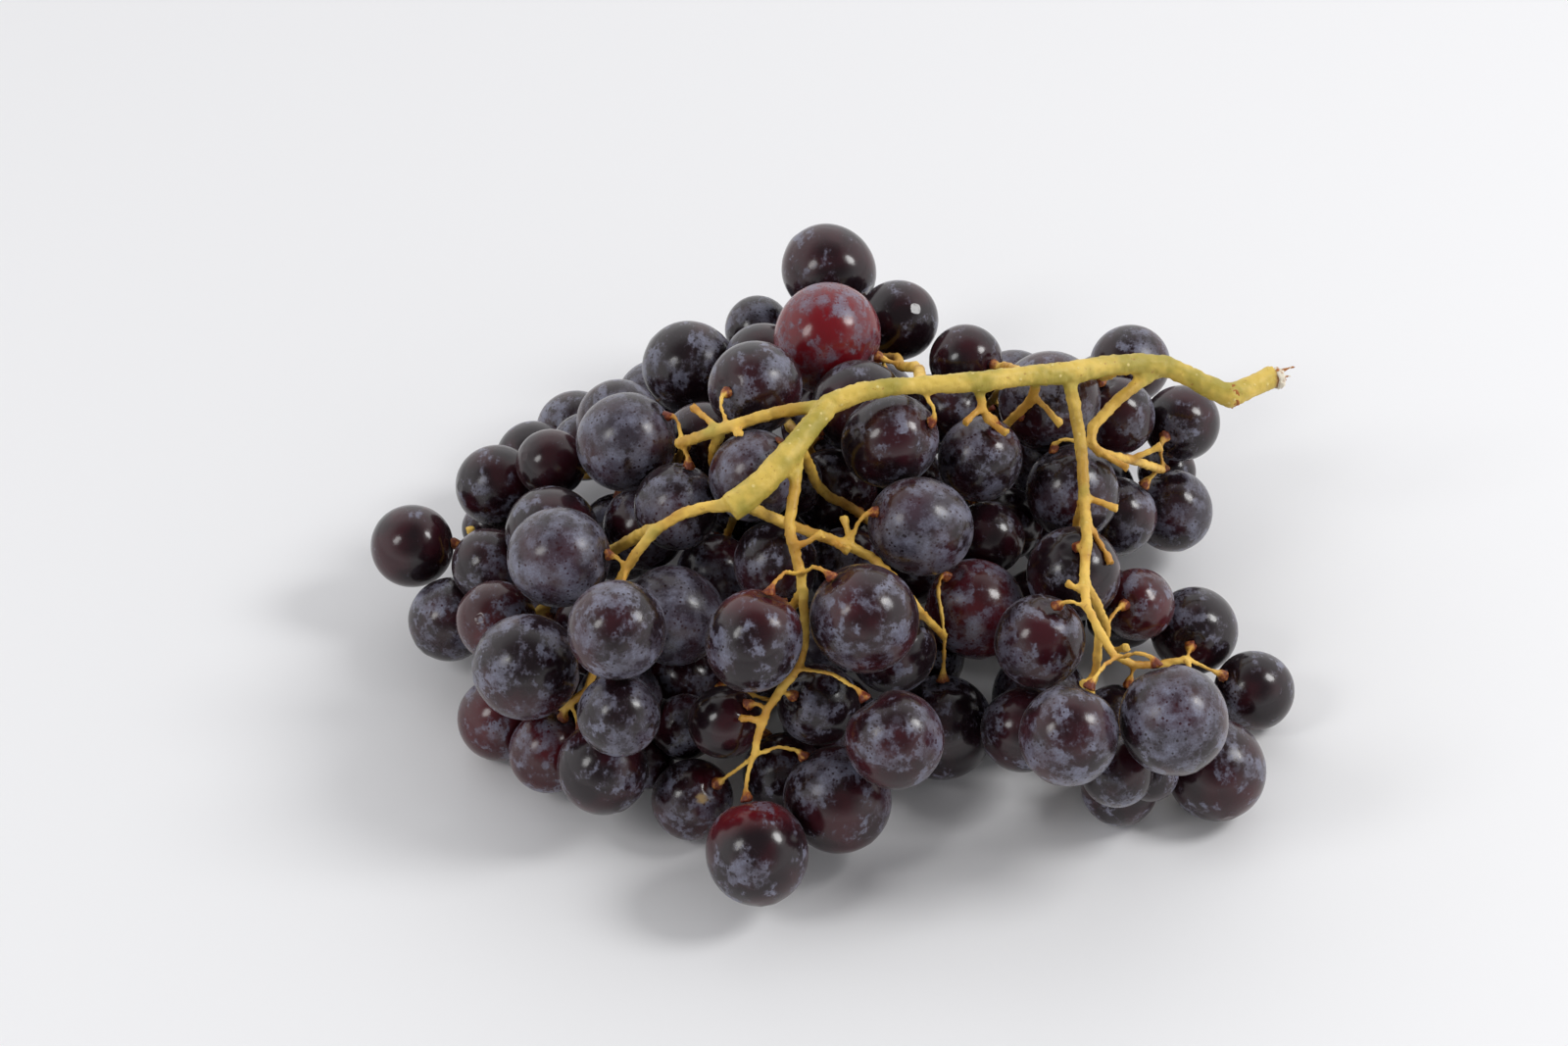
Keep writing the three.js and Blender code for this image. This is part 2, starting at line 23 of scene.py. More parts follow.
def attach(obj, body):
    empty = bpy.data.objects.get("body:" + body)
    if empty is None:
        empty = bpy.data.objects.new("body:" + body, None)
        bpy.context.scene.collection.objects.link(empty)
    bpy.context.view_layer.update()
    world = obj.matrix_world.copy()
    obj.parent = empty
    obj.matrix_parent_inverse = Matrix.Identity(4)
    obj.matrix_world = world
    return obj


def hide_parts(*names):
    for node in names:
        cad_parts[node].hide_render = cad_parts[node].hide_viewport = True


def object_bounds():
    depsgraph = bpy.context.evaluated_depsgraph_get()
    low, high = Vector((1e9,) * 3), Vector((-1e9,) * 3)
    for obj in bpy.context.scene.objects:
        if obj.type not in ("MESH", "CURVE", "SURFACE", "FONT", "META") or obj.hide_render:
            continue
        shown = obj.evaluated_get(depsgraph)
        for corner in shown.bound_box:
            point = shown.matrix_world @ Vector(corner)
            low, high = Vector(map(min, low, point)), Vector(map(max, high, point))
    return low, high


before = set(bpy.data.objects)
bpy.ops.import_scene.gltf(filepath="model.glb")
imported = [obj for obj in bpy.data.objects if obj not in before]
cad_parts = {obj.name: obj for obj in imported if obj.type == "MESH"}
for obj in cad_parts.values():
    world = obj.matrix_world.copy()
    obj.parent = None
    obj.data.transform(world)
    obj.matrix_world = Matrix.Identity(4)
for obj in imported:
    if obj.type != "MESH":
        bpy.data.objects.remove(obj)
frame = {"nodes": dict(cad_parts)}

CAD_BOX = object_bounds()
LOG = logging.getLogger("grapes")
MM = 0.001
WELD = 2e-6  # loose triangles closer than this share a corner


# ---- Small tools -------------------------------------------------------------------


def linear(hex_colour: str) -> tuple[float, float, float, float]:
    """Turns an sRGB hex colour into linear light.

    Args:
        hex_colour: the colour as "#rrggbb".

    Returns:
        The linear red, green, blue and an alpha of 1.
    """
    parts = [int(hex_colour[i : i + 2], 16) / 255 for i in (1, 3, 5)]
    flat = [p / 12.92 if p <= 0.04045 else ((p + 0.055) / 1.055) ** 2.4 for p in parts]
    return (flat[0], flat[1], flat[2], 1.0)


def add_node(
    tree: bpy.types.NodeTree,
    kind: str,
    values: dict | None = None,
    links: dict | None = None,
    **settings: object,
) -> bpy.types.Node:
    """Adds one shader node with its settings, plain values and incoming links.

    Args:
        tree: the node tree to add to.
        kind: the node's type.
        values: plain values by input name or number.
        links: output sockets by input name or number.
        **settings: the node's own properties.

    Returns:
        The new node.
    """
    node = tree.nodes.new(kind)
    for name, value in settings.items():
        setattr(node, name, value)
    for socket, value in (values or {}).items():
        node.inputs[socket].default_value = value
    for socket, source in (links or {}).items():
        tree.links.new(source, node.inputs[socket])
    return node


def new_material(name: str) -> tuple[bpy.types.Material, bpy.types.NodeTree, bpy.types.Node]:
    """Makes an empty node material with one Principled shader.

    Args:
        name: the material's name.

    Returns:
        The material, its node tree and the shader.
    """
    material = bpy.data.materials.new(name)
    material.use_nodes = True
    tree = material.node_tree
    tree.nodes.clear()
    shader = tree.nodes.new("ShaderNodeBsdfPrincipled")
    output = tree.nodes.new("ShaderNodeOutputMaterial")
    tree.links.new(shader.outputs["BSDF"], output.inputs["Surface"])
    return material, tree, shader


def millimetres(tree: bpy.types.NodeTree) -> bpy.types.NodeSocket:
    """Adds the nodes that give a spot's own place on its piece.

    Args:
        tree: the material's node tree.

    Returns:
        The place in millimetres, as a vector socket.
    """
    place = add_node(tree, "ShaderNodeTexCoord").outputs["Object"]
    scaled = add_node(
        tree, "ShaderNodeVectorMath", {"Scale": 1 / MM}, {0: place}, operation="SCALE"
    )
    return scaled.outputs[0]


def deselect_all() -> None:
    """Deselects every object, so that an operator acts only on what comes next."""
    if bpy.context.object and bpy.context.object.mode != "OBJECT":
        bpy.ops.object.mode_set(mode="OBJECT")
    bpy.ops.object.select_all(action="DESELECT")


def make_active(piece: bpy.types.Object) -> None:
    """Selects one object alone and makes it the active one."""
    deselect_all()
    piece.select_set(True)
    bpy.context.view_layer.objects.active = piece


def select_faces(piece: bpy.types.Object, wanted: Callable[[Vector, Vector], bool]) -> None:
    """Selects the faces of the piece in edit mode by their place and normal.

    Args:
        piece: the object that is in edit mode.
        wanted: says for a face's middle and normal whether it is selected.
    """
    bpy.ops.mesh.select_mode(type="FACE")
    bpy.ops.mesh.select_all(action="DESELECT")
    mesh = bmesh.from_edit_mesh(piece.data)
    for face in mesh.faces:
        face.select_set(wanted(face.calc_center_median(), face.normal))
    bmesh.update_edit_mesh(piece.data)


def apply_modifier(piece: bpy.types.Object, kind: str, **settings: object) -> None:
    """Adds a modifier to a piece and applies it.

    Args:
        piece: the piece that takes the modifier.
        kind: the modifier's type.
        **settings: the modifier's own properties.
    """
    make_active(piece)
    modifier = piece.modifiers.new(kind.title(), kind)
    for name, value in settings.items():
        setattr(modifier, name, value)
    bpy.ops.object.modifier_apply(modifier=modifier.name)


def places_of(mesh: bpy.types.Mesh) -> np.ndarray:
    """Returns the places of a mesh's vertices, one row each."""
    flat = np.zeros(len(mesh.vertices) * 3)
    mesh.vertices.foreach_get("co", flat)
    return flat.reshape(-1, 3)


def move_to(mesh: bpy.types.Mesh, places: np.ndarray) -> None:
    """Puts a mesh's vertices at new places."""
    mesh.vertices.foreach_set("co", places.astype(np.float32).ravel())
    mesh.update()


def paint(mesh: bpy.types.Mesh, name: str, values: np.ndarray | float) -> None:
    """Writes one number per vertex, which a finish reads by its name.

    Args:
        mesh: the mesh to write on.
        name: the attribute's name.
        values: a number for each vertex, or one for all.
    """
    attribute = mesh.attributes.get(name) or mesh.attributes.new(name, "FLOAT", "POINT")
    full = np.broadcast_to(values, len(mesh.vertices)).astype(np.float32)
    attribute.data.foreach_set("value", full)


def smooth_step(low: float, high: float, x: np.ndarray) -> np.ndarray:
    """Rises smoothly from 0 to 1 between two values, or falls if they are swapped.

    Args:
        low: where the result is 0.
        high: where it is 1.
        x: the values to look up.

    Returns:
        A number from 0 to 1 for each value.
    """
    t = np.clip((x - low) / (high - low), 0.0, 1.0)
    return t * t * (3.0 - 2.0 * t)


def hand_over(
    piece: bpy.types.Object, material: bpy.types.Material, node: str
) -> None:
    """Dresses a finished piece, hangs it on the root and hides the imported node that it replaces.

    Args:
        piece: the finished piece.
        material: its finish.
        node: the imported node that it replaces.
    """
    make_active(piece)
    bpy.ops.object.shade_smooth()
    piece.data.materials.clear()
    piece.data.materials.append(material)
    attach(piece, "root")
    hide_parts(node)
    LOG.info("%s, %d faces", piece.name, len(piece.data.polygons))


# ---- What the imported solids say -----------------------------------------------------


class Ripeness(Enum):
    """How far a berry's skin has coloured, as its share of red."""

    BLACK = 0.0
    DUSKY = 0.22
    BLUSH = 0.5
    RED = 1.0


class Bloom(Enum):
    """How much of its wax bloom a berry has kept, as a share of its skin."""

    POLISHED = 0.16
    PATCHY = 0.42
    DUSTED = 0.62
    THICK = 0.85


@dataclass(frozen=True)
class BerryLook:
    """What sets one berry apart from the others of the bunch."""

    ripeness: Ripeness = Ripeness.BLACK
    bloom: Bloom = Bloom.PATCHY
    stretch: float = 1.03  # length along its stalk over its width
    blush_at_stalk: float = 0.0  # red left round the stalk
    wrinkle: float = 0.0  # how far it has begun to shrivel
    dent: float = 0.0  # depth in millimetres of the hollow round its stalk
    scar: float = 0.0  # radius of a dry scar in millimetres


@dataclass
class Berry:
    """A berry of the bunch: its place, its size and the way to its stalk."""

    name: str
    node: str
    centre: np.ndarray
    radius: float
    crown: np.ndarray = field(default_factory=lambda: np.array([0.0, 0.0, 1.0]))
    look: BerryLook = field(default_factory=BerryLook)


@dataclass
class PackedBunch:
    """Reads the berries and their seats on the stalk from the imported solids."""

    nodes: dict[str, bpy.types.Object]
    seam_angle: float = math.radians(20)  # pressed berries meet in a crease sharper than this
    seat_gap: float = 0.3 * MM
    seat_slack: float = 0.06 * MM
    seat_radius: float = 2.2 * MM
    seat_least: float = 1.0 * MM * MM  # a seat with less area than this was trimmed away

    def berries(self) -> list[Berry]:
        """Finds every berry, with the direction of its stalk.

        Returns:
            The berries, in the order of their nodes and from the top of each down.
        """
        faces = self._stalk_faces()
        found = []
        for node in sorted(self.nodes):
            if node == "stalk":
                continue
            balls = sorted(self._balls(self.nodes[node]), key=lambda ball: -ball[0][2])
            for i, (centre, radius) in enumerate(balls):
                name = f"skin_{node}" if len(balls) == 1 else f"skin_{node}_{i + 1}"
                crown = self._crown(faces, centre, radius)
                found.append(Berry(name, node, centre, radius, crown))
        return found

    def _balls(self, node: bpy.types.Object) -> list[tuple[np.ndarray, float]]:
        """Splits a node's solid at its creases and fits a ball to each part.

        Args:
            node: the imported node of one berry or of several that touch.

        Returns:
            The middle and the radius of each berry.
        """
        mesh = bmesh.new()
        mesh.from_mesh(node.data)
        bmesh.ops.remove_doubles(mesh, verts=mesh.verts, dist=WELD)
        creases = {
            edge
            for edge in mesh.edges
            if len(edge.link_faces) == 2 and edge.calc_face_angle_signed(0.0) < -self.seam_angle
        }
        on_crease = {vertex for edge in creases for vertex in edge.verts}
        seen: set[bmesh.types.BMFace] = set()
        balls = []
        for start in mesh.faces:
            if start in seen:
                continue
            part, waiting = set(), [start]
            seen.add(start)
            while waiting:
                face = waiting.pop()
                part.update(face.verts)
                for edge in face.edges:
                    if edge in creases:
                        continue
                    for other in edge.link_faces:
                        if other not in seen:
                            seen.add(other)
                            waiting.append(other)
            free = [v.co[:] for v in part if v not in on_crease and v.co.z > WELD]
            balls.append(self._fit(np.array(free)))
        mesh.free()
        return balls

    @staticmethod
    def _fit(points: np.ndarray) -> tuple[np.ndarray, float]:
        """Fits a ball to points by least squares.

        Args:
            points: places on the ball, one row each.

        Returns:
            The ball's middle and radius.
        """
        rows = np.c_[2 * points, np.ones(len(points))]
        solved = np.linalg.lstsq(rows, (points**2).sum(1), rcond=None)[0]
        centre = solved[:3]
        return centre, math.sqrt(solved[3] + centre @ centre)

    def _stalk_faces(self) -> tuple[np.ndarray, np.ndarray, np.ndarray]:
        """Returns the middle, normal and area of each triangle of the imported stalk."""
        mesh = self.nodes["stalk"].data
        count = len(mesh.polygons)
        middles, normals, areas = np.zeros(count * 3), np.zeros(count * 3), np.zeros(count)
        mesh.polygons.foreach_get("center", middles)
        mesh.polygons.foreach_get("normal", normals)
        mesh.polygons.foreach_get("area", areas)
        return middles.reshape(-1, 3), normals.reshape(-1, 3), areas

    def _crown(
        self,
        faces: tuple[np.ndarray, np.ndarray, np.ndarray],
        centre: np.ndarray,
        radius: float,
    ) -> np.ndarray:
        """Finds the seat that faces a berry.

        Args:
            faces: the middles, normals and areas of the stalk's triangles.
            centre: the berry's middle.
            radius: the berry's radius.

        Returns:
            The direction from the berry's middle to its seat.
        """
        middles, normals, areas = faces
        reach = radius + self.seat_gap
        height = ((centre - middles) * normals).sum(1)
        foot = np.linalg.norm(middles + normals * height[:, None] - centre, axis=1)
        seats = (abs(height - reach) < self.seat_slack) & (foot < self.seat_radius)
        if areas[seats].sum() > self.seat_least:
            way = -(normals[seats] * areas[seats][:, None]).sum(0)
        else:
            LOG.info("a berry's seat was trimmed away, so it faces the nearest stalk")
            nearest = np.argmin(np.linalg.norm(middles - centre, axis=1))
            way = middles[nearest] - centre
        return way / np.linalg.norm(way)


# ---- Finishes ----------------------------------------------------------------------


@dataclass(frozen=True)
class GrapeSkin:
    """Black grape skin: a thin glossy film over dark flesh, dusted with wax bloom.

    The bare film mirrors the room softly. The bloom is a matt blue-grey wax, rubbed
    off where berries touch and broken by dark pores, so that it reads as dust.
    """

    bare: str = "#16080d"
    bare_warm: str = "#350f17"
    flesh_red: str = "#740a16"
    bloom_thin: str = "#43343e"
    bloom_full: str = "#84879b"
    scar_tan: str = "#b09468"
    ior: float = 1.47
    gloss: float = 0.17  # roughness of the bare film
    dull: float = 0.42  # roughness of the bloom
    sheen: float = 0.06
    sheen_roughness: float = 0.4
    scatter: tuple[float, float, float] = (1.0, 0.22, 0.16)  # red goes deepest
    scatter_depth: float = 3.0 * MM
    warm_mm: float = 11.2  # width of a warmer stretch of bare skin
    warm_range: tuple[float, float] = (0.42, 0.68)
    red_unevenness: float = 0.8
    patch_mm: float = 8.0  # width of a bloom patch
    drift_mm: float = 4.0  # width of a thicker drift within a patch
    edge_mm: float = 1.3  # ragged edge of a patch
    streak_mm: float = 1.5  # width of a rubbed streak
    grain_mm: float = 0.4  # grain of the wax
    pore_mm: float = 1.25  # spacing of the dark pores
    wave_mm: float = 1.6  # waviness of the film
    wave_depth: float = 0.06 * MM
    wave_strength: float = 0.6
    wax_depth: float = 0.02 * MM
    wax_strength: float = 0.5
    fineness: float = 0.6  # how strongly the fine part of each pattern shows
    streak_turn: tuple[float, float, float] = (0.5, 0.9, 0.4)
    streak_draw: tuple[float, float, float] = (1.0, 0.16, 1.0)
    edge_share: float = 0.32
    streak_share: float = 0.36
    rub_share: float = -0.3  # a touching neighbour takes bloom away
    kept_share: float = 0.5  # of the berry's own amount of bloom
    patch_range: tuple[float, float] = (1.0, 1.13)  # bare below, bloom above
    drift_range: tuple[float, float] = (0.38, 0.68)
    drift_least: float = 0.32  # cover where a patch is thinnest
    grain_range: tuple[float, float] = (0.3, 0.7)
    grain_cover: tuple[float, float] = (0.72, 1.1)
    pore_raggedness: float = -0.45  # how far the edge noise breaks a pore's round rim
    pore_range: tuple[float, float] = (-0.08, 0.04)
    pore_cover: float = 0.2  # cover that is left in a pore
    haze: float = 0.04  # wax that stays even on rubbed skin
    full: float = 0.85  # cover where the wax is thickest

    def make(self, name: str, translucency: float) -> bpy.types.Material:
        """Makes the skin's material.

        Args:
            name: the material's name.
            translucency: how much light passes through the flesh, 0 to 1.

        Returns:
            The material.
        """
        material, tree, shader = new_material(name)
        at = millimetres(tree)
        read = {
            key: add_node(tree, "ShaderNodeAttribute", attribute_name=key).outputs["Fac"]
            for key in ("touch", "red", "bloom", "scar")
        }
        cover = self._cover(tree, at, read)
        base = self._base(tree, at, read["red"])
        wax = add_node(
            tree,
            "ShaderNodeMix",
            {6: linear(self.bloom_thin), 7: linear(self.bloom_full)},
            {0: cover},
            data_type="RGBA",
        ).outputs[2]
        dusted = add_node(
            tree, "ShaderNodeMix", {}, {0: cover, 6: base, 7: wax}, data_type="RGBA"
        ).outputs[2]
        coloured = add_node(
            tree,
            "ShaderNodeMix",
            {7: linear(self.scar_tan)},
            {0: read["scar"], 6: dusted},
            data_type="RGBA",
        ).outputs[2]
        rough = add_node(
            tree,
            "ShaderNodeMapRange",
            {"To Min": self.gloss, "To Max": self.dull},
            {"Value": cover},
        ).outputs[0]
        tree.links.new(coloured, shader.inputs["Base Color"])
        tree.links.new(rough, shader.inputs["Roughness"])
        tree.links.new(self._relief(tree, at, cover), shader.inputs["Normal"])
        shader.inputs["IOR"].default_value = self.ior
        shader.inputs["Subsurface Weight"].default_value = translucency
        shader.inputs["Subsurface Radius"].default_value = self.scatter
        shader.inputs["Subsurface Scale"].default_value = self.scatter_depth
        shader.inputs["Sheen Weight"].default_value = self.sheen
        shader.inputs["Sheen Roughness"].default_value = self.sheen_roughness
        return material

    def _cover(
        self, tree: bpy.types.NodeTree, at: bpy.types.NodeSocket, read: dict
    ) -> bpy.types.NodeSocket:
        """Adds the nodes that say how much bloom covers a spot.

        Args:
            tree: the skin's node tree.
            at: the spot's place in millimetres.
            read: the berry's own attributes by name.

        Returns:
            The cover, from bare at 0 to thick at 1.
        """
        drawn = add_node(
            tree,
            "ShaderNodeMapping",
            {"Rotation": self.streak_turn, "Scale": self.streak_draw},
            {"Vector": at},
        ).outputs[0]
        noise = {
            key: add_node(
                tree,
                "ShaderNodeTexNoise",
                {"Scale": 1 / width, "Detail": detail, "Roughness": self.fineness},
                {"Vector": place},
            ).outputs["Fac"]
            for key, place, width, detail in (
                ("patch", at, self.patch_mm, 7.0),
                ("edge", at, self.edge_mm, 6.0),
                ("streak", drawn, self.streak_mm, 2.0),
                ("drift", at, self.drift_mm, 6.0),
                ("grain", at, self.grain_mm, 2.0),
            )
        }
        height = noise["patch"]
        for part, share in (
            (noise["edge"], self.edge_share),
            (noise["streak"], self.streak_share),
            (read["touch"], self.rub_share),
            (read["bloom"], self.kept_share),
        ):
            height = add_node(
                tree, "ShaderNodeMath", {1: share}, {0: part, 2: height}, operation="MULTIPLY_ADD"
            ).outputs[0]
        spread = add_node(
            tree,
            "ShaderNodeTexVoronoi",
            {"Scale": 1 / self.pore_mm, "Randomness": 1.0},
            {"Vector": at},
        ).outputs["Distance"]
        ragged = add_node(
            tree,
            "ShaderNodeMath",
            {1: self.pore_raggedness},
            {0: noise["edge"], 2: spread},
            operation="MULTIPLY_ADD",
        ).outputs[0]
        parts = [
            add_node(
                tree,
                "ShaderNodeMapRange",
                {"From Min": low, "From Max": high, "To Min": least, "To Max": most},
                {"Value": value},
                interpolation_type=slope,
            ).outputs[0]
            for value, (low, high), (least, most), slope in (
                (height, self.patch_range, (0.0, 1.0), "SMOOTHSTEP"),
                (noise["drift"], self.drift_range, (self.drift_least, 1.0), "SMOOTHSTEP"),
                (ragged, self.pore_range, (self.pore_cover, 1.0), "SMOOTHSTEP"),
                (noise["grain"], self.grain_range, self.grain_cover, "LINEAR"),
            )
        ]
        wax = parts[0]
        for part in parts[1:]:
            wax = add_node(
                tree, "ShaderNodeMath", {}, {0: wax, 1: part}, operation="MULTIPLY"
            ).outputs[0]
        return add_node(
            tree, "ShaderNodeMapRange", {"To Min": self.haze, "To Max": self.full}, {"Value": wax}
        ).outputs[0]

    def _base(
        self, tree: bpy.types.NodeTree, at: bpy.types.NodeSocket, red: bpy.types.NodeSocket
    ) -> bpy.types.NodeSocket:
        """Adds the nodes for the colour of the bare skin.

        Args:
            tree: the skin's node tree.
            at: the spot's place in millimetres.
            red: how red the berry is at the spot.

        Returns:
            The colour.
        """
        warmth = add_node(
            tree,
            "ShaderNodeTexNoise",
            {"Scale": 1 / self.warm_mm, "Detail": 2.0},
            {"Vector": at},
        ).outputs["Fac"]
        warm = add_node(
            tree,
            "ShaderNodeMapRange",
            {"From Min": self.warm_range[0], "From Max": self.warm_range[1]},
            {"Value": warmth},
            interpolation_type="SMOOTHSTEP",
        ).outputs[0]
        dark = add_node(
            tree,
            "ShaderNodeMix",
            {6: linear(self.bare), 7: linear(self.bare_warm)},
            {0: warm},
            data_type="RGBA",
        ).outputs[2]
        uneven = add_node(
            tree,
            "ShaderNodeMath",
            {1: self.red_unevenness, 2: -self.red_unevenness / 2},
            {0: warmth},
            operation="MULTIPLY_ADD",
        ).outputs[0]
        redness = add_node(
            tree, "ShaderNodeMath", {}, {0: red, 1: uneven}, operation="ADD", use_clamp=True
        ).outputs[0]
        only_red = add_node(
            tree, "ShaderNodeMath", {}, {0: redness, 1: red}, operation="MULTIPLY"
        ).outputs[0]
        return add_node(
            tree,
            "ShaderNodeMix",
            {7: linear(self.flesh_red)},
            {0: only_red, 6: dark},
            data_type="RGBA",
        ).outputs[2]

    def _relief(
        self, tree: bpy.types.NodeTree, at: bpy.types.NodeSocket, cover: bpy.types.NodeSocket
    ) -> bpy.types.NodeSocket:
        """Adds the nodes for the film's faint waviness and the wax's own thickness.

        Args:
            tree: the skin's node tree.
            at: the spot's place in millimetres.
            cover: how much bloom covers the spot.

        Returns:
            The normal.
        """
        waves = add_node(
            tree, "ShaderNodeTexNoise", {"Scale": 1 / self.wave_mm, "Detail": 2.0}, {"Vector": at}
        ).outputs["Fac"]
        wavy = add_node(
            tree,
            "ShaderNodeBump",
            {"Strength": self.wave_strength, "Distance": self.wave_depth},
            {"Height": waves},
        ).outputs[0]
        return add_node(
            tree,
            "ShaderNodeBump",
            {"Strength": self.wax_strength, "Distance": self.wax_depth},
            {"Height": cover, "Normal": wavy},
        ).outputs[0]


@dataclass(frozen=True)
class StalkBark:
    """Green vine wood turning straw: a waxy rind with pale raised lenticels.

    Thick stem is olive yellow, thin berry stalks go ochre to brown, seats are warty
    and rust red, and torn ends are dry and brown.
    """

    stem_light: str = "#dabb58"
    stem_green: str = "#a8983e"
    stalk_ochre: str = "#eabf58"
    stalk_brown: str = "#c08a34"
    seat_rust: str = "#94461e"
    seat_ring: str = "#5c1a12"
    dry_brown: str = "#8a5a34"
    lenticel: str = "#e6d48c"
    ior: float = 1.45
    lenticel_mm: float = 2.6  # spacing of the pale raised pores
    lenticel_edge: tuple[float, float] = (0.17, 0.07)  # as a share of their spacing
    lenticel_share: float = 0.7
    lenticel_depth: float = 0.15 * MM
    lenticel_strength: float = 0.8
    blotch_mm: float = 8.0  # width of a greener blotch
    blotch_range: tuple[float, float] = (0.36, 0.64)
    speckle_mm: float = 1.1  # width of a rusty fleck
    speckle_range: tuple[float, float] = (0.62, 0.72)
    speckle_share: float = 0.6
    rust_raggedness: float = 1.6  # how far the fleck noise breaks up a rusty seat
    rust_range: tuple[float, float] = (0.35, 0.85)
    ring_range: tuple[float, float] = (0.75, 1.0)
    rust_share: float = 0.85
    grain_mm: float = 0.5
    grain_depth: float = 0.14 * MM
    grain_strength: float = 0.6
    roughness: tuple[float, float] = (0.4, 0.6)  # along the grain
    translucency: float = 0.08
    scatter: tuple[float, float, float] = (1.0, 0.7, 0.3)
    scatter_depth: float = 0.8 * MM

    def make(self) -> bpy.types.Material:
        """Makes the stalk's material."""
        material, tree, shader = new_material("vine stalk, green wood with a waxy rind")
        at = millimetres(tree)
        read = {
            key: add_node(tree, "ShaderNodeAttribute", attribute_name=key).outputs["Fac"]
            for key in ("girth", "seat", "dry")
        }
        noise = {
            key: add_node(
                tree,
                "ShaderNodeTexNoise",
                {"Scale": 1 / width, "Detail": detail, "Roughness": fineness},
                {"Vector": at},
            ).outputs["Fac"]
            for key, width, detail, fineness in (
                ("blotch", self.blotch_mm, 3.0, 0.5),
                ("speckle", self.speckle_mm, 4.0, 0.65),
                ("grain", self.grain_mm, 3.0, 0.5),
            )
        }
        wood = self._wood(tree, noise["blotch"], read["girth"])
        dots = self._lenticels(tree, at, read["girth"])
        rust = self._rust(tree, noise["speckle"], read["seat"])
        colour = wood
        for hex_colour, share in ((self.lenticel, dots), *rust, (self.dry_brown, read["dry"])):
            colour = add_node(
                tree,
                "ShaderNodeMix",
                {7: linear(hex_colour)},
                {0: share, 6: colour},
                data_type="RGBA",
            ).outputs[2]
        rough_grain = add_node(
            tree,
            "ShaderNodeBump",
            {"Strength": self.grain_strength, "Distance": self.grain_depth},
            {"Height": noise["grain"]},
        ).outputs[0]
        bumps = add_node(
            tree,
            "ShaderNodeBump",
            {"Strength": self.lenticel_strength, "Distance": self.lenticel_depth},
            {"Height": dots, "Normal": rough_grain},
        ).outputs[0]
        rough = add_node(
            tree,
            "ShaderNodeMapRange",
            {"To Min": self.roughness[0], "To Max": self.roughness[1]},
            {"Value": noise["grain"]},
        ).outputs[0]
        tree.links.new(colour, shader.inputs["Base Color"])
        tree.links.new(rough, shader.inputs["Roughness"])
        tree.links.new(bumps, shader.inputs["Normal"])
        shader.inputs["IOR"].default_value = self.ior
        shader.inputs["Subsurface Weight"].default_value = self.translucency
        shader.inputs["Subsurface Radius"].default_value = self.scatter
        shader.inputs["Subsurface Scale"].default_value = self.scatter_depth
        return material

    def _wood(
        self, tree: bpy.types.NodeTree, blotch: bpy.types.NodeSocket, girth: bpy.types.NodeSocket
    ) -> bpy.types.NodeSocket:
        """Adds the nodes for the wood's own colour.

        Args:
            tree: the bark's node tree.
            blotch: a wide noise.
            girth: 0 on thin stalks, 1 on the stem.

        Returns:
            The colour.
        """
        blotched = add_node(
            tree,
            "ShaderNodeMapRange",
            {"From Min": self.blotch_range[0], "From Max": self.blotch_range[1]},
            {"Value": blotch},
            interpolation_type="SMOOTHSTEP",
        ).outputs[0]
        thin, stem = (
            add_node(
                tree,
                "ShaderNodeMix",
                {6: linear(dark), 7: linear(light)},
                {0: blotched},
                data_type="RGBA",
            ).outputs[2]
            for dark, light in (
                (self.stalk_brown, self.stalk_ochre),
                (self.stem_green, self.stem_light),
            )
        )
        return add_node(
            tree, "ShaderNodeMix", {}, {0: girth, 6: thin, 7: stem}, data_type="RGBA"
        ).outputs[2]

    def _lenticels(
        self, tree: bpy.types.NodeTree, at: bpy.types.NodeSocket, girth: bpy.types.NodeSocket
    ) -> bpy.types.NodeSocket:
        """Adds the nodes for the pale dots on the thick wood.

        Args:
            tree: the bark's node tree.
            at: the spot's place in millimetres.
            girth: 0 on thin stalks, 1 on the stem.

        Returns:
            How far the spot is on a dot, 0 to 1.
        """
        spread = add_node(
            tree,
            "ShaderNodeTexVoronoi",
            {"Scale": 1 / self.lenticel_mm, "Randomness": 1.0},
            {"Vector": at},
        ).outputs["Distance"]
        low, high = self.lenticel_edge
        raised = add_node(
            tree,
            "ShaderNodeMapRange",
            {"From Min": low, "From Max": high, "To Max": self.lenticel_share},
            {"Value": spread},
            interpolation_type="SMOOTHSTEP",
        ).outputs[0]
        return add_node(
            tree, "ShaderNodeMath", {}, {0: raised, 1: girth}, operation="MULTIPLY"
        ).outputs[0]

    def _rust(
        self, tree: bpy.types.NodeTree, speckle: bpy.types.NodeSocket, seat: bpy.types.NodeSocket
    ) -> list[tuple[str, bpy.types.NodeSocket]]:
        """Adds the nodes for the rusty seats, their dark rims and the loose flecks.

        Args:
            tree: the bark's node tree.
            speckle: a fine noise.
            seat: how near a seat the spot is, 0 to 1.

        Returns:
            Each colour with its share.
        """
        ragged = add_node(
            tree,
            "ShaderNodeMath",
            {1: self.rust_raggedness, 2: -self.rust_raggedness / 2},
            {0: speckle},
            operation="MULTIPLY_ADD",
        ).outputs[0]
        near = add_node(
            tree, "ShaderNodeMath", {}, {0: seat, 1: ragged}, operation="ADD"
        ).outputs[0]
        layers = []
        for hex_colour, value, (low, high), most in (
            (self.seat_rust, near, self.rust_range, self.rust_share),
            (self.seat_ring, near, self.ring_range, self.rust_share),
            (self.seat_rust, speckle, self.speckle_range, self.speckle_share),
        ):
            share = add_node(
                tree,
                "ShaderNodeMapRange",
                {"From Min": low, "From Max": high, "To Max": most},
                {"Value": value},
                interpolation_type="SMOOTHSTEP",
            ).outputs[0]
            layers.append((hex_colour, share))
        return layers


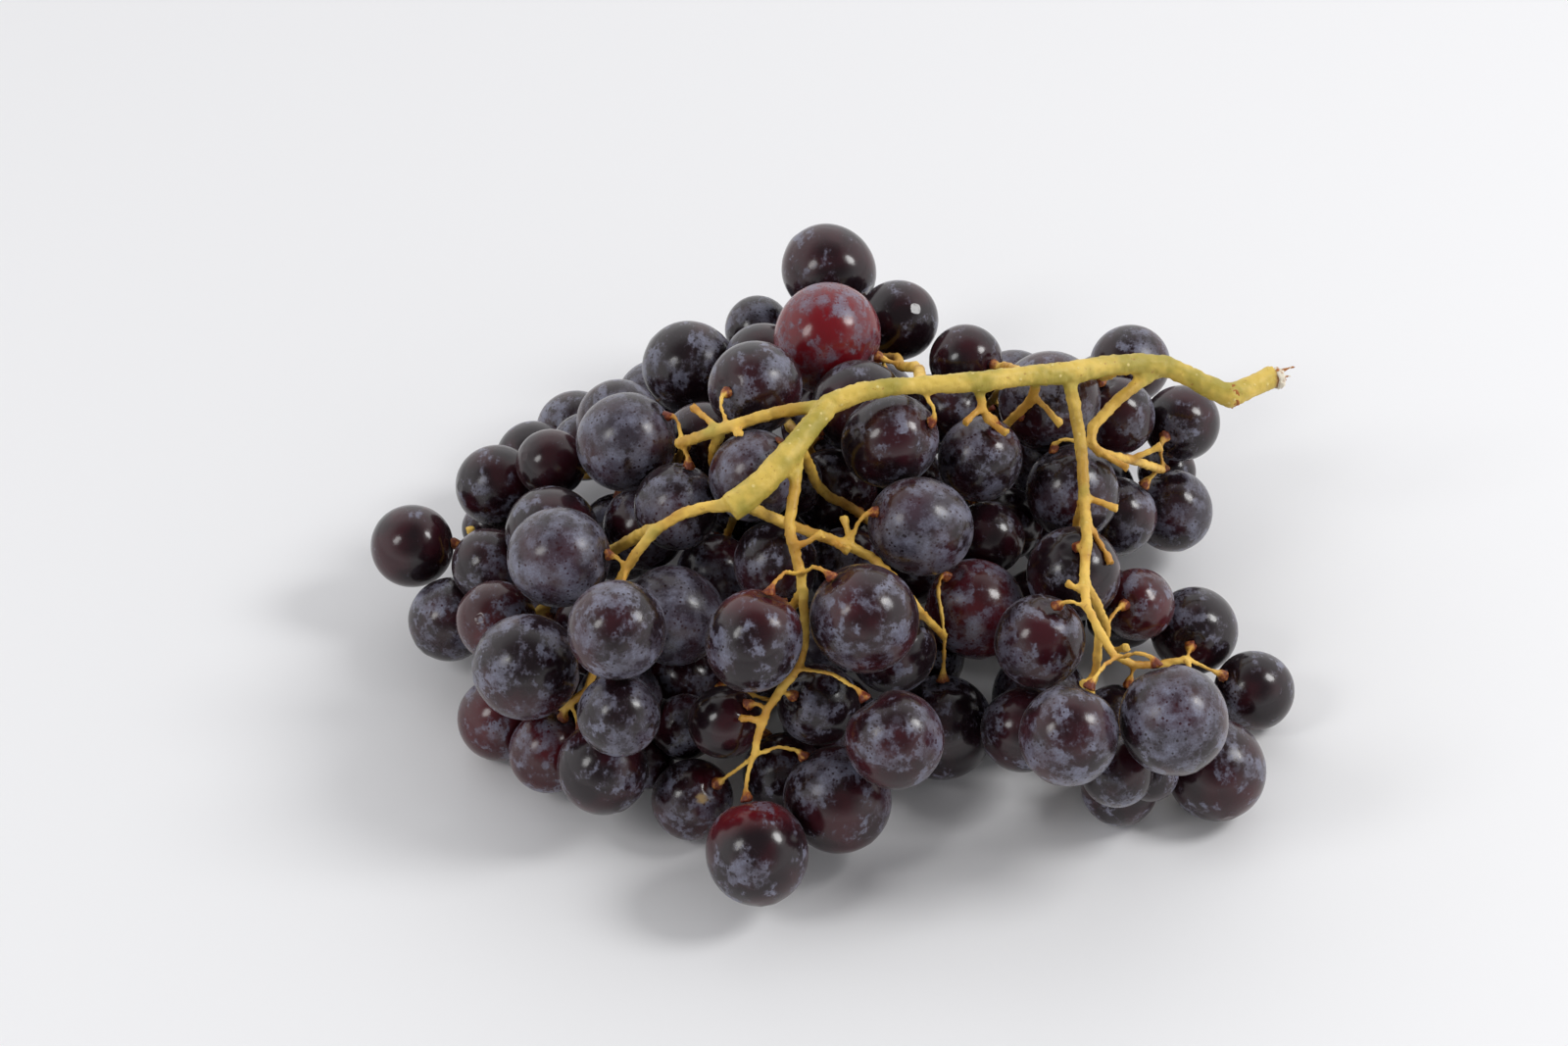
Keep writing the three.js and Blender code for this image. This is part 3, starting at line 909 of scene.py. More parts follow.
@dataclass(frozen=True)
class TornPith:
    """Dry pith of a torn stem: cream fibres with rust-brown tips and crevices."""

    cream: str = "#e9e0cc"
    rust: str = "#a5642c"
    roughness: float = 0.85
    fibre_mm: float = 0.45
    fibre_depth: float = 0.12 * MM
    fibre_strength: float = 0.8
    stain_mm: float = 1.6  # width of a rusty stain
    stain_range: tuple[float, float] = (0.52, 0.66)
    tip_share: float = 0.5
    rust_from_mm: float = 3.4  # height on a fibre where its tip starts to rust
    rust_to_mm: float = 5.6

    def make(self) -> bpy.types.Material:
        """Makes the pith's material."""
        material, tree, shader = new_material("dry stem pith, torn")
        at = millimetres(tree)
        stain = add_node(
            tree,
            "ShaderNodeTexNoise",
            {"Scale": 1 / self.stain_mm, "Detail": 5.0},
            {"Vector": at},
        ).outputs["Fac"]
        height = add_node(tree, "ShaderNodeAttribute", attribute_name="height").outputs["Fac"]
        tips = add_node(
            tree,
            "ShaderNodeMapRange",
            {
                "From Min": self.rust_from_mm,
                "From Max": self.rust_to_mm,
                "To Max": self.tip_share,
            },
            {"Value": height},
        ).outputs[0]
        both = add_node(
            tree, "ShaderNodeMath", {}, {0: stain, 1: tips}, operation="ADD"
        ).outputs[0]
        share = add_node(
            tree,
            "ShaderNodeMapRange",
            {"From Min": self.stain_range[0], "From Max": self.stain_range[1]},
            {"Value": both},
            interpolation_type="SMOOTHSTEP",
        ).outputs[0]
        colour = add_node(
            tree,
            "ShaderNodeMix",
            {6: linear(self.cream), 7: linear(self.rust)},
            {0: share},
            data_type="RGBA",
        ).outputs[2]
        fibres = add_node(
            tree,
            "ShaderNodeTexNoise",
            {"Scale": 1 / self.fibre_mm, "Detail": 4.0},
            {"Vector": at},
        ).outputs["Fac"]
        relief = add_node(
            tree,
            "ShaderNodeBump",
            {"Strength": self.fibre_strength, "Distance": self.fibre_depth},
            {"Height": fibres},
        ).outputs[0]
        tree.links.new(colour, shader.inputs["Base Color"])
        tree.links.new(relief, shader.inputs["Normal"])
        shader.inputs["Roughness"].default_value = self.roughness
        return material


@dataclass(frozen=True)
class TableTop:
    """Matt white laminate under a soft light: nearly even, a touch cool."""

    colour: str = "#eeeeef"
    roughness: float = 0.6

    def make(self) -> bpy.types.Material:
        """Makes the table's material."""
        material, _, shader = new_material("matt white laminate")
        shader.inputs["Base Color"].default_value = linear(self.colour)
        shader.inputs["Roughness"].default_value = self.roughness
        return material


# ---- Berries -----------------------------------------------------------------------


@dataclass
class BerryForm:
    """The one berry that all are copied from, a radius of 1 with its stalk up +Z."""

    cuts: int = 9  # each side of the starting block is cut into one more than this
    pit_width: float = 0.3
    pit_depth: float = 0.05
    pit_rim: float = 0.05
    nub_width: float = 0.17
    nub_height: float = 0.018
    nub_rim: float = 0.07
    nub_hollow: float = 0.03

    def build(self) -> bpy.types.Object:
        """Models the round berry, its pit at the stalk and its nub at the far end.

        Returns:
            The model that the berries are copied from.
        """
        deselect_all()
        bpy.ops.mesh.primitive_cube_add(size=2.0, location=(0, 0, 0))
        form = bpy.context.object
        form.name = "berry_form"
        bpy.ops.object.mode_set(mode="EDIT")
        bpy.ops.mesh.subdivide(number_cuts=self.cuts)
        bpy.ops.mesh.select_all(action="SELECT")
        bpy.ops.transform.tosphere(value=1.0)
        bpy.ops.object.mode_set(mode="OBJECT")
        sphere = places_of(form.data)
        move_to(form.data, sphere / np.linalg.norm(sphere, axis=1)[:, None])
        bpy.ops.object.mode_set(mode="EDIT")
        select_faces(form, lambda at, _: at.z > 0 and at.xy.length < self.pit_width)
        bpy.ops.mesh.inset(thickness=self.pit_rim, depth=-self.pit_depth / 2)
        bpy.ops.transform.translate(value=(0, 0, -self.pit_depth / 2))
        select_faces(form, lambda at, _: at.z < 0 and at.xy.length < self.nub_width)
        bpy.ops.mesh.inset(thickness=self.nub_rim, depth=self.nub_height)
        bpy.ops.mesh.inset(thickness=self.nub_hollow, depth=-self.nub_height)
        bpy.ops.object.mode_set(mode="OBJECT")
        apply_modifier(form, "SUBSURF", levels=1, render_levels=1)
        return form


@dataclass
class BerrySet:
    """All the berries: each a copy of the form, pressed flat where it touches."""

    form: BerryForm
    berries: list[Berry]
    skin: GrapeSkin
    black_translucency: float = 0.03
    red_translucency: float = 0.3
    lumps: float = 0.012  # unevenness, as a share of the radius
    waves: int = 3
    wave_turns: float = 2.6
    wave_shift: float = 2.1
    folds: int = 9  # of a berry that shrivels
    fold_range: tuple[float, float] = (-0.2, 0.8)  # from its middle up to its stalk
    blush_range: tuple[float, float] = (0.1, 0.8)
    neighbour_reach: float = 3 * MM
    squeeze: float = 0.05 * MM  # air left between two berries
    press_edge: float = 0.25 * MM  # rounding where a pressed flat begins
    rub_reach: float = 1.6 * MM  # bloom is rubbed off this near a neighbour
    rub_full: float = 0.2 * MM
    bloom_spread: float = 0.12
    dent_aside: float = 0.15  # a dent lies this far beside the stalk
    dent_range: tuple[float, float] = (0.62, 0.1)
    scar_way: tuple[float, float, float] = (0.25, -0.62, 0.74)  # on the upper front
    scar_edge: tuple[float, float] = (1.15, 0.75)  # as a share of the scar's radius

    def build(self) -> None:
        """Copies, shapes, dresses and places every berry."""
        master = self.form.build()
        unit = places_of(master.data)
        black = self.skin.make("grape skin, black with wax bloom", self.black_translucency)
        red = self.skin.make("grape skin, red with wax bloom", self.red_translucency)
        for number, berry in enumerate(self.berries):
            mesh = master.data.copy()
            mesh.name = berry.name
            piece = bpy.data.objects.new(berry.name, mesh)
            bpy.context.scene.collection.objects.link(piece)
            self._shape(mesh, unit, berry, random.Random(number))
            material = red if berry.look.ripeness is Ripeness.RED else black
            hand_over(piece, material, berry.node)
        bpy.data.objects.remove(master)
        LOG.info("%d berries", len(self.berries))

    def _shape(
        self, mesh: bpy.types.Mesh, unit: np.ndarray, berry: Berry, chance: random.Random
    ) -> None:
        """Gives a copy of the form one berry's size, turn, lumps and flats.

        Args:
            mesh: the copy.
            unit: the form's vertices.
            berry: the berry it becomes.
            chance: the berry's own random numbers.
        """
        look = berry.look
        way = Vector(berry.crown).to_track_quat("Z", "Y").to_matrix()
        spin = Matrix.Rotation(chance.uniform(0, 2 * math.pi), 3, "Z")
        turn = np.array(way @ spin)
        width = look.stretch ** (-1 / 3)
        local = unit * np.array([width, width, width * look.stretch])
        heading = [chance.uniform(-1, 1) for _ in range(3 * self.waves)]
        wave = np.zeros(len(unit))
        for k in range(self.waves):
            ray = np.array(heading[3 * k : 3 * k + 3])
            wave += np.sin((unit @ ray) * self.wave_turns + self.wave_shift * k)
        if look.wrinkle:
            around = np.arctan2(unit[:, 1], unit[:, 0])
            folds = np.sin(around * self.folds + 2 * np.sin(unit[:, 2] * 3))
            wave += folds * smooth_step(*self.fold_range, unit[:, 2]) * look.wrinkle
        local = local * (1 + self.lumps * wave / self.waves)[:, None]
        beside = np.hypot(unit[:, 0] - self.dent_aside, unit[:, 1])
        hollow = smooth_step(*self.dent_range, beside) * (unit[:, 2] > 0)
        local[:, 2] -= look.dent * MM / berry.radius * hollow
        world = (local @ turn.T) * berry.radius
        touch = np.zeros(len(unit))
        for other in self.berries:
            between = other.centre - berry.centre
            apart = np.linalg.norm(between)
            if other is berry or apart > berry.radius + other.radius + self.neighbour_reach:
                continue
            ahead = between / apart
            plane = (apart**2 + berry.radius**2 - other.radius**2) / (2 * apart)
            world = self._press(world, ahead, plane - self.squeeze / 2)
            near = np.linalg.norm(world - between, axis=1) - other.radius
            touch = np.maximum(touch, smooth_step(self.rub_reach, self.rub_full, near))
        world = self._press(world, np.array([0.0, 0.0, -1.0]), berry.centre[2])
        move_to(mesh, world + berry.centre)
        paint(mesh, "touch", touch)
        blush = look.blush_at_stalk * smooth_step(*self.blush_range, unit[:, 2])
        paint(mesh, "red", np.maximum(look.ripeness.value, blush))
        spread = chance.uniform(-self.bloom_spread, self.bloom_spread)
        paint(mesh, "bloom", look.bloom.value + spread)
        scar_way = np.array(Vector(self.scar_way).normalized())
        spot = np.linalg.norm(unit @ turn.T - scar_way, axis=1) * berry.radius
        dry = smooth_step(*self.scar_edge, spot / (look.scar * MM)) if look.scar else 0.0
        paint(mesh, "scar", dry)

    def _press(self, world: np.ndarray, ahead: np.ndarray, plane: float) -> np.ndarray:
        """Presses what lies beyond a plane back to it, with a rounded edge.

        Args:
            world: places round the berry's middle.
            ahead: the plane's normal, away from the berry.
            plane: the plane's distance from the berry's middle.

        Returns:
            The pressed places.
        """
        depth = world @ ahead - plane
        eased = self.press_edge * np.logaddexp(0, np.clip(depth / self.press_edge, -40, 40))
        return world - np.outer(np.minimum(eased, np.maximum(depth, 0) + self.press_edge), ahead)


# ---- Stalk -------------------------------------------------------------------------


@dataclass
class Stalk:
    """The stem, sprigs and berry stalks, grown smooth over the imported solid."""

    packed: bpy.types.Object
    berries: list[Berry]
    bark: StalkBark
    voxel: float = 0.49 * MM
    swell: float = -0.1 * MM  # the surface moves out by this, so here it draws in
    knobs: float = 0.6 * MM
    knob_size: float = 1.3 * MM
    collar_sides: int = 10
    collar_radius: float = 1.55 * MM
    collar_depth: float = 0.7 * MM
    collar_rim: float = 0.5 * MM
    collar_rise: float = 0.2 * MM
    collar_gap: float = 0.1 * MM  # from the berry's round to the collar's middle
    thin: float = 1.5 * MM  # thickness taken where no far side is found
    probe_start: float = 0.05 * MM
    probe_reach: float = 8.0 * MM
    even_rounds: int = 24  # thickness is evened out along the edges this often
    even_share: float = 0.6
    girth_range: tuple[float, float] = (1.6 * MM, 3.4 * MM)
    seat_range: tuple[float, float] = (3.2 * MM, 1.0 * MM)
    dry_range: tuple[float, float] = (1.2 * MM, 0.2 * MM)  # back from the torn end

    def build(self) -> bpy.types.Object:
        """Models and dresses the stalk.

        Returns:
            The stalk piece.
        """
        mesh = bmesh.new()
        mesh.from_mesh(self.packed.data)
        bmesh.ops.remove_doubles(mesh, verts=mesh.verts, dist=WELD)
        data = bpy.data.meshes.new("stalk_wood")
        mesh.to_mesh(data)
        mesh.free()
        piece = bpy.data.objects.new("stalk_wood", data)
        bpy.context.scene.collection.objects.link(piece)
        piece = self._with_collars(piece)
        apply_modifier(piece, "REMESH", mode="VOXEL", voxel_size=self.voxel)
        apply_modifier(piece, "SMOOTH", factor=0.5, iterations=4)
        grain = bpy.data.textures.new("knobbly wood", "CLOUDS")
        grain.noise_scale = self.knob_size
        apply_modifier(
            piece,
            "DISPLACE",
            texture=grain,
            texture_coords="LOCAL",
            strength=self.knobs,
            mid_level=0.5 - self.swell / self.knobs,
        )
        self._mark(piece)
        hand_over(piece, self.bark.make(), "stalk")
        return piece

    def _with_collars(self, piece: bpy.types.Object) -> bpy.types.Object:
        """Adds a swollen collar where each berry sits, and joins them to the stalk.

        Args:
            piece: the stalk.

        Returns:
            The stalk with its collars in one mesh.
        """
        deselect_all()
        bpy.ops.mesh.primitive_cylinder_add(
            vertices=self.collar_sides, radius=self.collar_radius, depth=self.collar_depth
        )
        collar = bpy.context.object
        bpy.ops.object.mode_set(mode="EDIT")
        select_faces(collar, lambda _, normal: normal.z > 0.9)
        bpy.ops.mesh.inset(thickness=self.collar_rim, depth=self.collar_rise)
        bpy.ops.object.mode_set(mode="OBJECT")
        shape = places_of(collar.data)
        copies = []
        for berry in self.berries:
            turn = np.array(Vector(berry.crown).to_track_quat("Z", "Y").to_matrix())
            data = collar.data.copy()
            middle = berry.centre + berry.crown * (berry.radius + self.collar_gap)
            move_to(data, shape @ turn.T + middle)
            copy = bpy.data.objects.new("collar", data)
            bpy.context.scene.collection.objects.link(copy)
            copies.append(copy)
        bpy.data.objects.remove(collar)
        make_active(piece)
        for copy in copies:
            copy.select_set(True)
        bpy.ops.object.join()
        return bpy.context.object

    def _mark(self, piece: bpy.types.Object) -> None:
        """Writes on the stalk how thick it is, and where its seats and torn end are.

        Args:
            piece: the finished stalk, whose bark reads these marks.
        """
        data = piece.data
        places = places_of(data)
        normals = np.zeros(len(data.vertices) * 3)
        data.vertices.foreach_get("normal", normals)
        normals = normals.reshape(-1, 3)
        wood = bmesh.new()
        wood.from_mesh(data)
        tree = BVHTree.FromBMesh(wood)
        wood.free()
        thick = np.full(len(places), self.thin)
        for i, (place, normal) in enumerate(zip(places, normals)):
            start = Vector(place - normal * self.probe_start)
            far_side, _, _, distance = tree.ray_cast(start, Vector(-normal), self.probe_reach)
            if far_side is not None:
                thick[i] = distance
        edges = np.zeros(len(data.edges) * 2, int)
        data.edges.foreach_get("vertices", edges)
        edges = edges.reshape(-1, 2)
        ends, others = edges.ravel(), edges[:, ::-1].ravel()
        count = np.maximum(np.bincount(ends, minlength=len(thick)), 1)
        for _ in range(self.even_rounds):
            total = np.bincount(ends, weights=thick[others], minlength=len(thick))
            thick += self.even_share * (total / count - thick)
        paint(data, "girth", smooth_step(*self.girth_range, thick))
        seats = KDTree(len(self.berries))
        for i, berry in enumerate(self.berries):
            seats.insert(Vector(berry.centre + berry.crown * berry.radius), i)
        seats.balance()
        away = np.array([seats.find(Vector(place))[2] for place in places])
        paint(data, "seat", smooth_step(*self.seat_range, away))
        paint(data, "dry", smooth_step(*self.dry_range, places[:, 0].max() - places[:, 0]))


@dataclass(frozen=True)
class Splinter:
    """A loose fibre of the torn end, in millimetres from the middle of the pith."""

    right: float
    up: float
    length: float
    width: float


@dataclass
class TornEnd:
    """The torn end of the main stem: its pale pith, loose splinters and a bark ring."""

    stalk: bpy.types.Object
    pith: TornPith
    reach: float = 2.0 * MM  # how far from the end the stem's run is measured
    pith_sides: int = 16
    pith_radius: float = 2.3 * MM
    pith_depth: float = 1.2 * MM
    pith_steps: tuple[tuple[float, float], ...] = (  # in from the edge, and up
        (0.5 * MM, 0.5 * MM),
        (0.5 * MM, -0.5 * MM),
        (0.4 * MM, 0.4 * MM),
    )
    pith_tears: tuple[float, float] = (0.9 * MM, 0.7 * MM)  # depth and size
    ring_back: float = 10.5 * MM  # from the end to the old node's ring
    ring_sides: int = 18
    ring_radius: float = 2.55 * MM
    ring_depth: float = 1.3 * MM
    ring_wall: float = 0.8 * MM
    ring_tears: tuple[float, float] = (1.0 * MM, 0.8 * MM)
    rust_height: float = 6.0  # millimetres; the pith's finish is rusty from here up
    splinters: tuple[Splinter, ...] = (
        Splinter(right=1.0, up=0.9, length=4.8, width=0.55),
        Splinter(right=0.2, up=1.3, length=3.6, width=0.5),
        Splinter(right=-0.9, up=0.7, length=2.4, width=0.6),
        Splinter(right=0.4, up=-1.2, length=1.9, width=0.6),
    )
    splinter_sides: int = 6
    splinter_root: float = 0.6 * MM
    splinter_steps: int = 4
    splinter_bend: float = 0.22 * MM
    splinter_taper: float = 0.72  # width left after each step
    splinter_tears: tuple[float, float] = (0.5 * MM, 0.3 * MM)

    def build(self) -> None:
        """Models, dresses and places the pith with its splinters, and the ring."""
        places = places_of(self.stalk.data)
        far = places[:, 0].max()
        tip = places[places[:, 0] > far - self.reach].mean(0)
        inner = places[abs(places[:, 0] - (far - 4 * self.reach)) < self.reach].mean(0)
        way = Vector(tip - inner).normalized()
        turn = np.array(way.to_track_quat("Z", "Y").to_matrix())
        end = tip + np.array(way) * 0.4 * self.reach
        material = self.pith.make()
        self._place(self._pith(), "stem_end_pith", turn, end, material)
        for number, splinter in enumerate(self.splinters):
            offset = turn @ (np.array([splinter.right, splinter.up, 0.0]) * MM)
            fibre = self._fibre(splinter, number)
            self._place(fibre, f"stem_end_splinter_{number + 1}", turn, end + offset, material)
        near = abs(places[:, 0] - (far - self.ring_back)) < 0.5 * self.reach
        ring = self._ring()
        self._place(ring, "stem_node_ring", turn, places[near].mean(0), material)
        paint(ring.data, "height", self.rust_height)
        LOG.info("torn end, %d splinters and a ring", len(self.splinters))

    def _place(
        self,
        piece: bpy.types.Object,
        name: str,
        turn: np.ndarray,
        middle: np.ndarray,
        material: bpy.types.Material,
    ) -> None:
        """Moves a finished model to the end of the stem and dresses it.

        Args:
            piece: the model, made at the origin along +Z.
            name: the piece's name.
            turn: the rotation that brings +Z along the stem.
            middle: where the model's origin goes.
            material: its finish.
        """
        piece.name = name
        mesh = piece.data
        paint(mesh, "height", places_of(mesh)[:, 2] / MM)
        move_to(mesh, places_of(mesh) @ turn.T + middle)
        hand_over(piece, material, "stalk")

    def _pith(self) -> bpy.types.Object:
        """Models the torn face: a disc drawn out into a ragged crown of fibres."""
        deselect_all()
        bpy.ops.mesh.primitive_cylinder_add(
            vertices=self.pith_sides, radius=self.pith_radius, depth=self.pith_depth
        )
        face = bpy.context.object
        bpy.ops.object.mode_set(mode="EDIT")
        select_faces(face, lambda _, normal: normal.z > 0.9)
        for inwards, upwards in self.pith_steps:
            bpy.ops.mesh.inset(thickness=inwards, depth=upwards)
        bpy.ops.mesh.select_all(action="SELECT")
        bpy.ops.mesh.subdivide(number_cuts=2)
        bpy.ops.object.mode_set(mode="OBJECT")
        self._fray(face, *self.pith_tears)
        return face

    def _ring(self) -> bpy.types.Object:
        """Models the ragged rim of bark round the stem's old node."""
        deselect_all()
        bpy.ops.mesh.primitive_cylinder_add(
            vertices=self.ring_sides, radius=self.ring_radius, depth=self.ring_depth
        )
        rim = bpy.context.object
        bpy.ops.object.mode_set(mode="EDIT")
        select_faces(rim, lambda _, normal: abs(normal.z) > 0.9)
        bpy.ops.mesh.inset(thickness=self.ring_wall, depth=0.0)
        bpy.ops.mesh.select_all(action="SELECT")
        bpy.ops.mesh.subdivide(number_cuts=2)
        bpy.ops.object.mode_set(mode="OBJECT")
        self._fray(rim, *self.ring_tears)
        return rim

    def _fibre(self, splinter: Splinter, number: int) -> bpy.types.Object:
        """Models one loose fibre: a thin strip drawn out to a bent point.

        Args:
            splinter: how far it stands out and how wide it starts.
            number: its place in the row, which sets the side it bends to.

        Returns:
            The fibre along +Z.
        """
        deselect_all()
        bpy.ops.mesh.primitive_cylinder_add(
            vertices=self.splinter_sides, radius=splinter.width * MM, depth=self.splinter_root
        )
        fibre = bpy.context.object
        bpy.ops.object.mode_set(mode="EDIT")
        select_faces(fibre, lambda _, normal: normal.z > 0.9)
        steps = self.splinter_steps
        rise = splinter.length * MM / steps
        side = 1 if number % 2 else -1
        for step in range(steps):
            bend = self.splinter_bend * side * step / steps
            bpy.ops.mesh.extrude_region_move(
                TRANSFORM_OT_translate={"value": (bend, bend / 2, rise)}
            )
            bpy.ops.transform.resize(value=(self.splinter_taper, self.splinter_taper, 1.0))
        bpy.ops.object.mode_set(mode="OBJECT")
        self._fray(fibre, *self.splinter_tears)
        return fibre

    @staticmethod
    def _fray(piece: bpy.types.Object, depth: float, size: float) -> None:
        """Roughens a torn piece with a fine noise.

        Args:
            piece: the piece.
            depth: how deep the tears go.
            size: how wide one tear is.
        """
        apply_modifier(piece, "SUBSURF", levels=1, render_levels=1)
        torn = bpy.data.textures.new("torn fibre", "CLOUDS")
        torn.noise_scale = size
        apply_modifier(
            piece,
            "DISPLACE",
            texture=torn,
            texture_coords="LOCAL",
            strength=depth,
            mid_level=0.5,
        )


# ---- Studio ------------------------------------------------------------------------


@dataclass
class Studio:
    """A white table, two soft boxes and pale surroundings."""

    table: TableTop
    floor_size: float = 14.0
    floor_drop: float = 0.1 * MM  # keeps the table's face off the part's own floor plane
    key_way: tuple[float, float, float] = (0.70, 0.0, 0.714)
    key_size: tuple[float, float] = (0.34, 0.46)
    key_power: float = 5.8
    fill_way: tuple[float, float, float] = (-0.634, -0.332, 0.698)
    fill_size: tuple[float, float] = (0.30, 0.44)
    fill_power: float = 2.5
    light_distance: float = 1.2
    room_colour: str = "#f1f1f3"
    room_strength: float = 1.3
    opening_way: tuple[float, float, float] = (0.0, -0.42, 0.91)  # towards a dark room
    opening_strength: float = 0.24
    opening_inner: float = math.cos(math.radians(26))
    opening_outer: float = math.cos(math.radians(68))
    lens: float = 85.0
    sight: tuple[float, float] = (0.01, 30.0)  # nearest and farthest that it sees
    camera_distance: float = 0.8
    camera_elevation: float = math.radians(45)
    aim: tuple[float, float, float] = (-9.36 * MM, 15.28 * MM, 20 * MM)  # from the foot's middle

    def build(self) -> None:
        """Builds the table, the lights, the surroundings and the camera."""
        low, high = CAD_BOX
        middle = Vector(((low.x + high.x) / 2, (low.y + high.y) / 2, 0.0))
        self._floor(middle)
        self._soft_box("key", middle, self.key_way, self.key_size, self.key_power)
        self._soft_box("fill", middle, self.fill_way, self.fill_size, self.fill_power)
        self._tent()
        bpy.context.scene.view_settings.view_transform = "Standard"
        self._camera(middle + Vector(self.aim))
        LOG.info("studio")

    def _tent(self) -> None:
        """Surrounds the bunch with a white light tent that opens above its front."""
        world = bpy.data.worlds.new("light tent")
        world.use_nodes = True
        tree = world.node_tree
        room = tree.nodes["Background"]
        way = add_node(tree, "ShaderNodeTexCoord").outputs["Generated"]
        ahead = add_node(
            tree, "ShaderNodeVectorMath", {1: self.opening_way}, {0: way}, operation="DOT_PRODUCT"
        ).outputs["Value"]
        strength = add_node(
            tree,
            "ShaderNodeMapRange",
            {
                "From Min": self.opening_outer,
                "From Max": self.opening_inner,
                "To Min": self.room_strength,
                "To Max": self.opening_strength,
            },
            {"Value": ahead},
            interpolation_type="SMOOTHSTEP",
        ).outputs[0]
        tree.links.new(strength, room.inputs["Strength"])
        room.inputs["Color"].default_value = linear(self.room_colour)
        bpy.context.scene.world = world

    def _floor(self, middle: Vector) -> None:
        """Lays the table under the bunch.

        Args:
            middle: the middle of the bunch's foot.
        """
        deselect_all()
        lowered = middle - Vector((0, 0, self.floor_drop))
        bpy.ops.mesh.primitive_plane_add(size=self.floor_size, location=lowered)
        floor = bpy.context.object
        floor.name = "table"
        floor.data.materials.append(self.table.make())

    def _soft_box(
        self,
        name: str,
        middle: Vector,
        way: tuple[float, float, float],
        size: tuple[float, float],
        power: float,
    ) -> None:
        """Hangs a soft box that faces the bunch.

        Args:
            name: the lamp's name.
            middle: what it faces.
            way: the direction from the bunch to the lamp.
            size: its width and height.
            power: its power in watts.
        """
        lamp = bpy.data.lights.new(name, "AREA")
        lamp.shape = "ELLIPSE"
        lamp.size, lamp.size_y = size
        lamp.energy = power
        box = bpy.data.objects.new(name, lamp)
        bpy.context.scene.collection.objects.link(box)
        away = Vector(way).normalized()
        box.location = middle + away * self.light_distance
        box.rotation_euler = away.to_track_quat("Z", "Y").to_euler()

    def _camera(self, target: Vector) -> None:
        """Sets the camera at its angle above the table.

        Args:
            target: what it looks at.
        """
        camera = bpy.data.cameras.new("camera")
        camera.lens = self.lens
        camera.clip_start, camera.clip_end = self.sight
        stand = bpy.data.objects.new("camera", camera)
        bpy.context.scene.collection.objects.link(stand)
        back = Vector((0.0, -math.cos(self.camera_elevation), math.sin(self.camera_elevation)))
        stand.location = target + back * self.camera_distance
        stand.rotation_euler = back.to_track_quat("Z", "Y").to_euler()
        bpy.context.scene.camera = stand


# ---- The bunch ---------------------------------------------------------------------

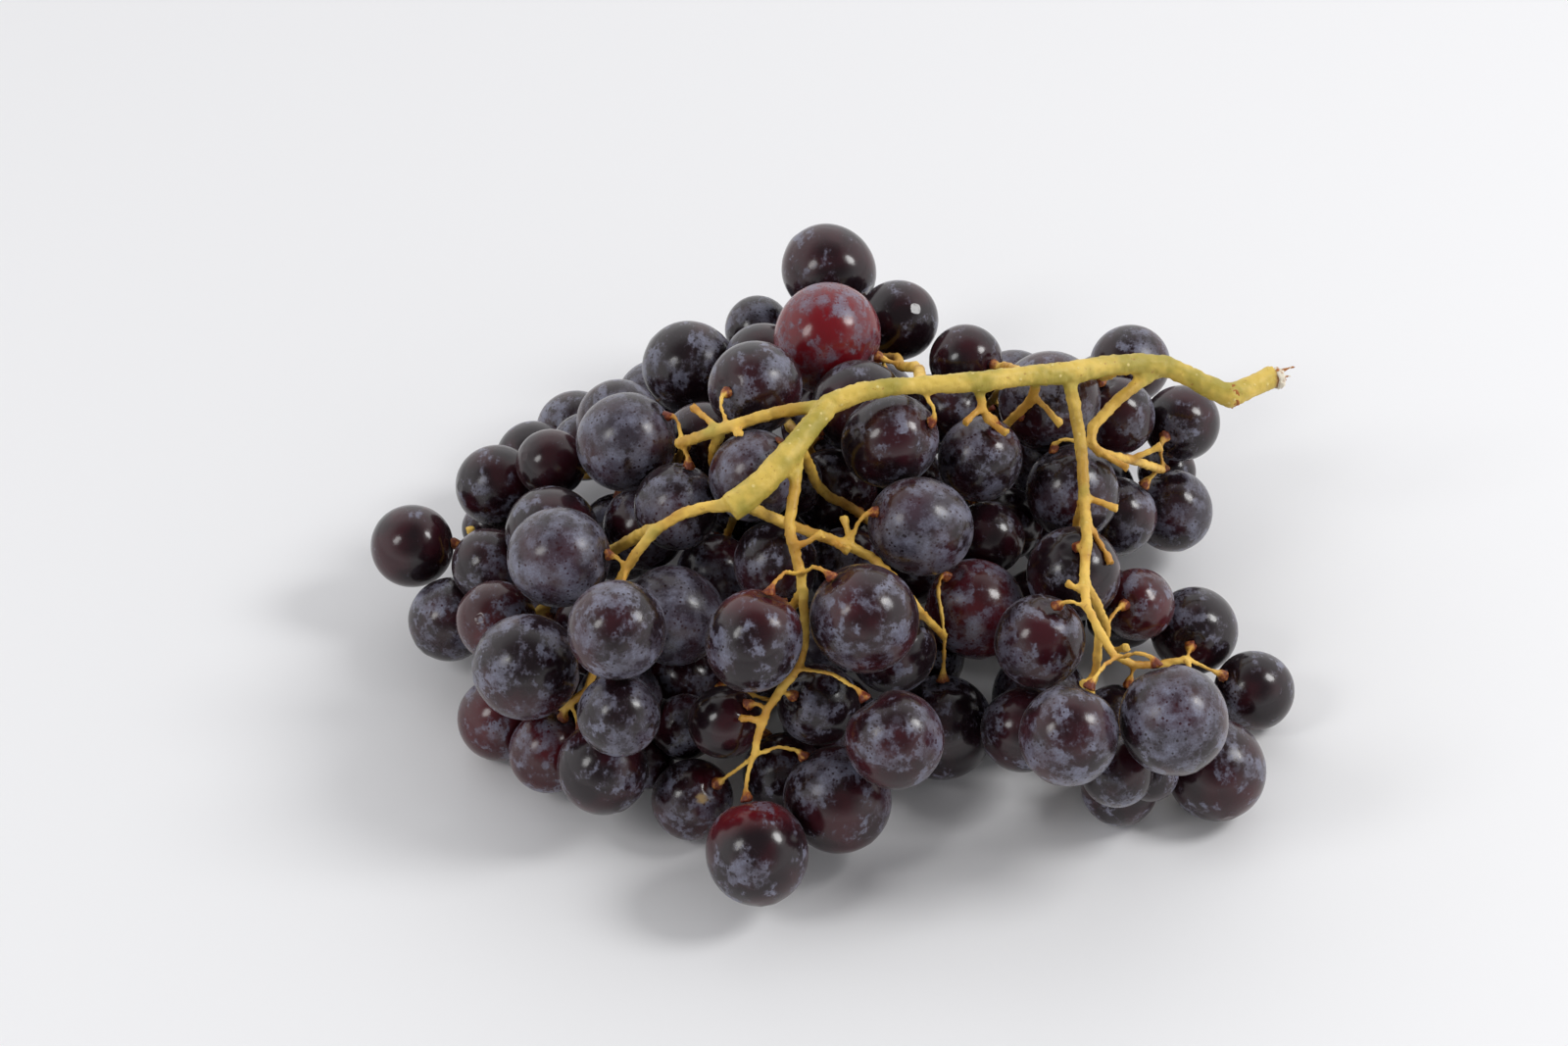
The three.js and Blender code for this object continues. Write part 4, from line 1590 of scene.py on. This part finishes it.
LOOKS: dict[str, BerryLook] = {
    "skin_back_clump_2_1": BerryLook(Ripeness.RED, Bloom.PATCHY, 0.93),
    "skin_back_clump_1_1": BerryLook(Ripeness.BLACK, Bloom.POLISHED, 1.06),
    "skin_back_clump_1_2": BerryLook(Ripeness.BLACK, Bloom.POLISHED),
    "skin_back_berry_1": BerryLook(Ripeness.BLACK, Bloom.POLISHED),
    "skin_front_berry_1": BerryLook(Ripeness.BLACK, Bloom.PATCHY, 1.04, blush_at_stalk=0.8),
    "skin_front_berry_3": BerryLook(Ripeness.BLACK, Bloom.PATCHY, 1.09, blush_at_stalk=0.5, dent=0.6),
    "skin_front_berry_2": BerryLook(Ripeness.DUSKY, Bloom.PATCHY, scar=1.1),
    "skin_front_berry_4": BerryLook(Ripeness.DUSKY, Bloom.PATCHY, 1.02),
    "skin_front_berry_5": BerryLook(Ripeness.DUSKY, Bloom.PATCHY, 1.0, dent=0.8),
    "skin_front_berry_6": BerryLook(Ripeness.BLACK, Bloom.POLISHED),
    "skin_front_clump_1_2": BerryLook(Ripeness.DUSKY, Bloom.PATCHY, 1.04),
    "skin_front_core_berry_2": BerryLook(Ripeness.BLACK, Bloom.THICK),
    "skin_front_left_berry_1": BerryLook(Ripeness.BLACK, Bloom.DUSTED, 1.05),
    "skin_front_left_berry_2": BerryLook(Ripeness.BLACK, Bloom.DUSTED, 1.02),
    "skin_front_left_clump_1_5": BerryLook(Ripeness.BLUSH, Bloom.PATCHY),
    "skin_front_left_clump_1_7": BerryLook(Ripeness.BLUSH, Bloom.PATCHY),
    "skin_left_shoulder_berry_1": BerryLook(Ripeness.BLACK, Bloom.POLISHED),
    "skin_left_shoulder_berry_2": BerryLook(Ripeness.BLACK, Bloom.DUSTED, 1.02),
    "skin_left_shoulder_berry_3": BerryLook(Ripeness.BLACK, Bloom.DUSTED),
    "skin_middle_berry_1": BerryLook(Ripeness.BLACK, Bloom.DUSTED, 1.1),
    "skin_middle_clump_1_2": BerryLook(Ripeness.BLUSH, Bloom.PATCHY, 1.05),
    "skin_right_front_berry_2": BerryLook(Ripeness.DUSKY, Bloom.PATCHY, 1.04, dent=1.0),
    "skin_right_front_berry_3": BerryLook(Ripeness.BLACK, Bloom.DUSTED, 1.02),
    "skin_right_front_berry_4": BerryLook(Ripeness.BLACK, Bloom.DUSTED, 1.02),
    "skin_right_front_low_berry_1": BerryLook(Ripeness.BLUSH, Bloom.PATCHY, 1.12, wrinkle=1.6),
    "skin_right_front_low_berry_3": BerryLook(Ripeness.DUSKY, Bloom.PATCHY, 1.05),
    "skin_tail_berry_1": BerryLook(Ripeness.BLACK, Bloom.POLISHED, 1.0),
    "skin_tail_berry_2": BerryLook(Ripeness.BLACK, Bloom.DUSTED, 1.04),
    "skin_tail_clump_2_2": BerryLook(Ripeness.BLUSH, Bloom.PATCHY),
    "skin_under_stem_berry_1": BerryLook(Ripeness.BLACK, Bloom.PATCHY, 1.08),
}


def main() -> None:
    """Builds the studio, the stalk and the berries."""
    logging.basicConfig(level=logging.INFO, format="%(name)s: %(message)s")
    berries = PackedBunch(frame["nodes"]).berries()
    for berry in berries:
        berry.look = LOOKS.get(berry.name, berry.look)
    Studio(TableTop()).build()
    stalk = Stalk(frame["nodes"]["stalk"], berries, StalkBark()).build()
    TornEnd(stalk, TornPith()).build()
    BerrySet(BerryForm(), berries, GrapeSkin()).build()


if __name__ == "__main__":
    main()
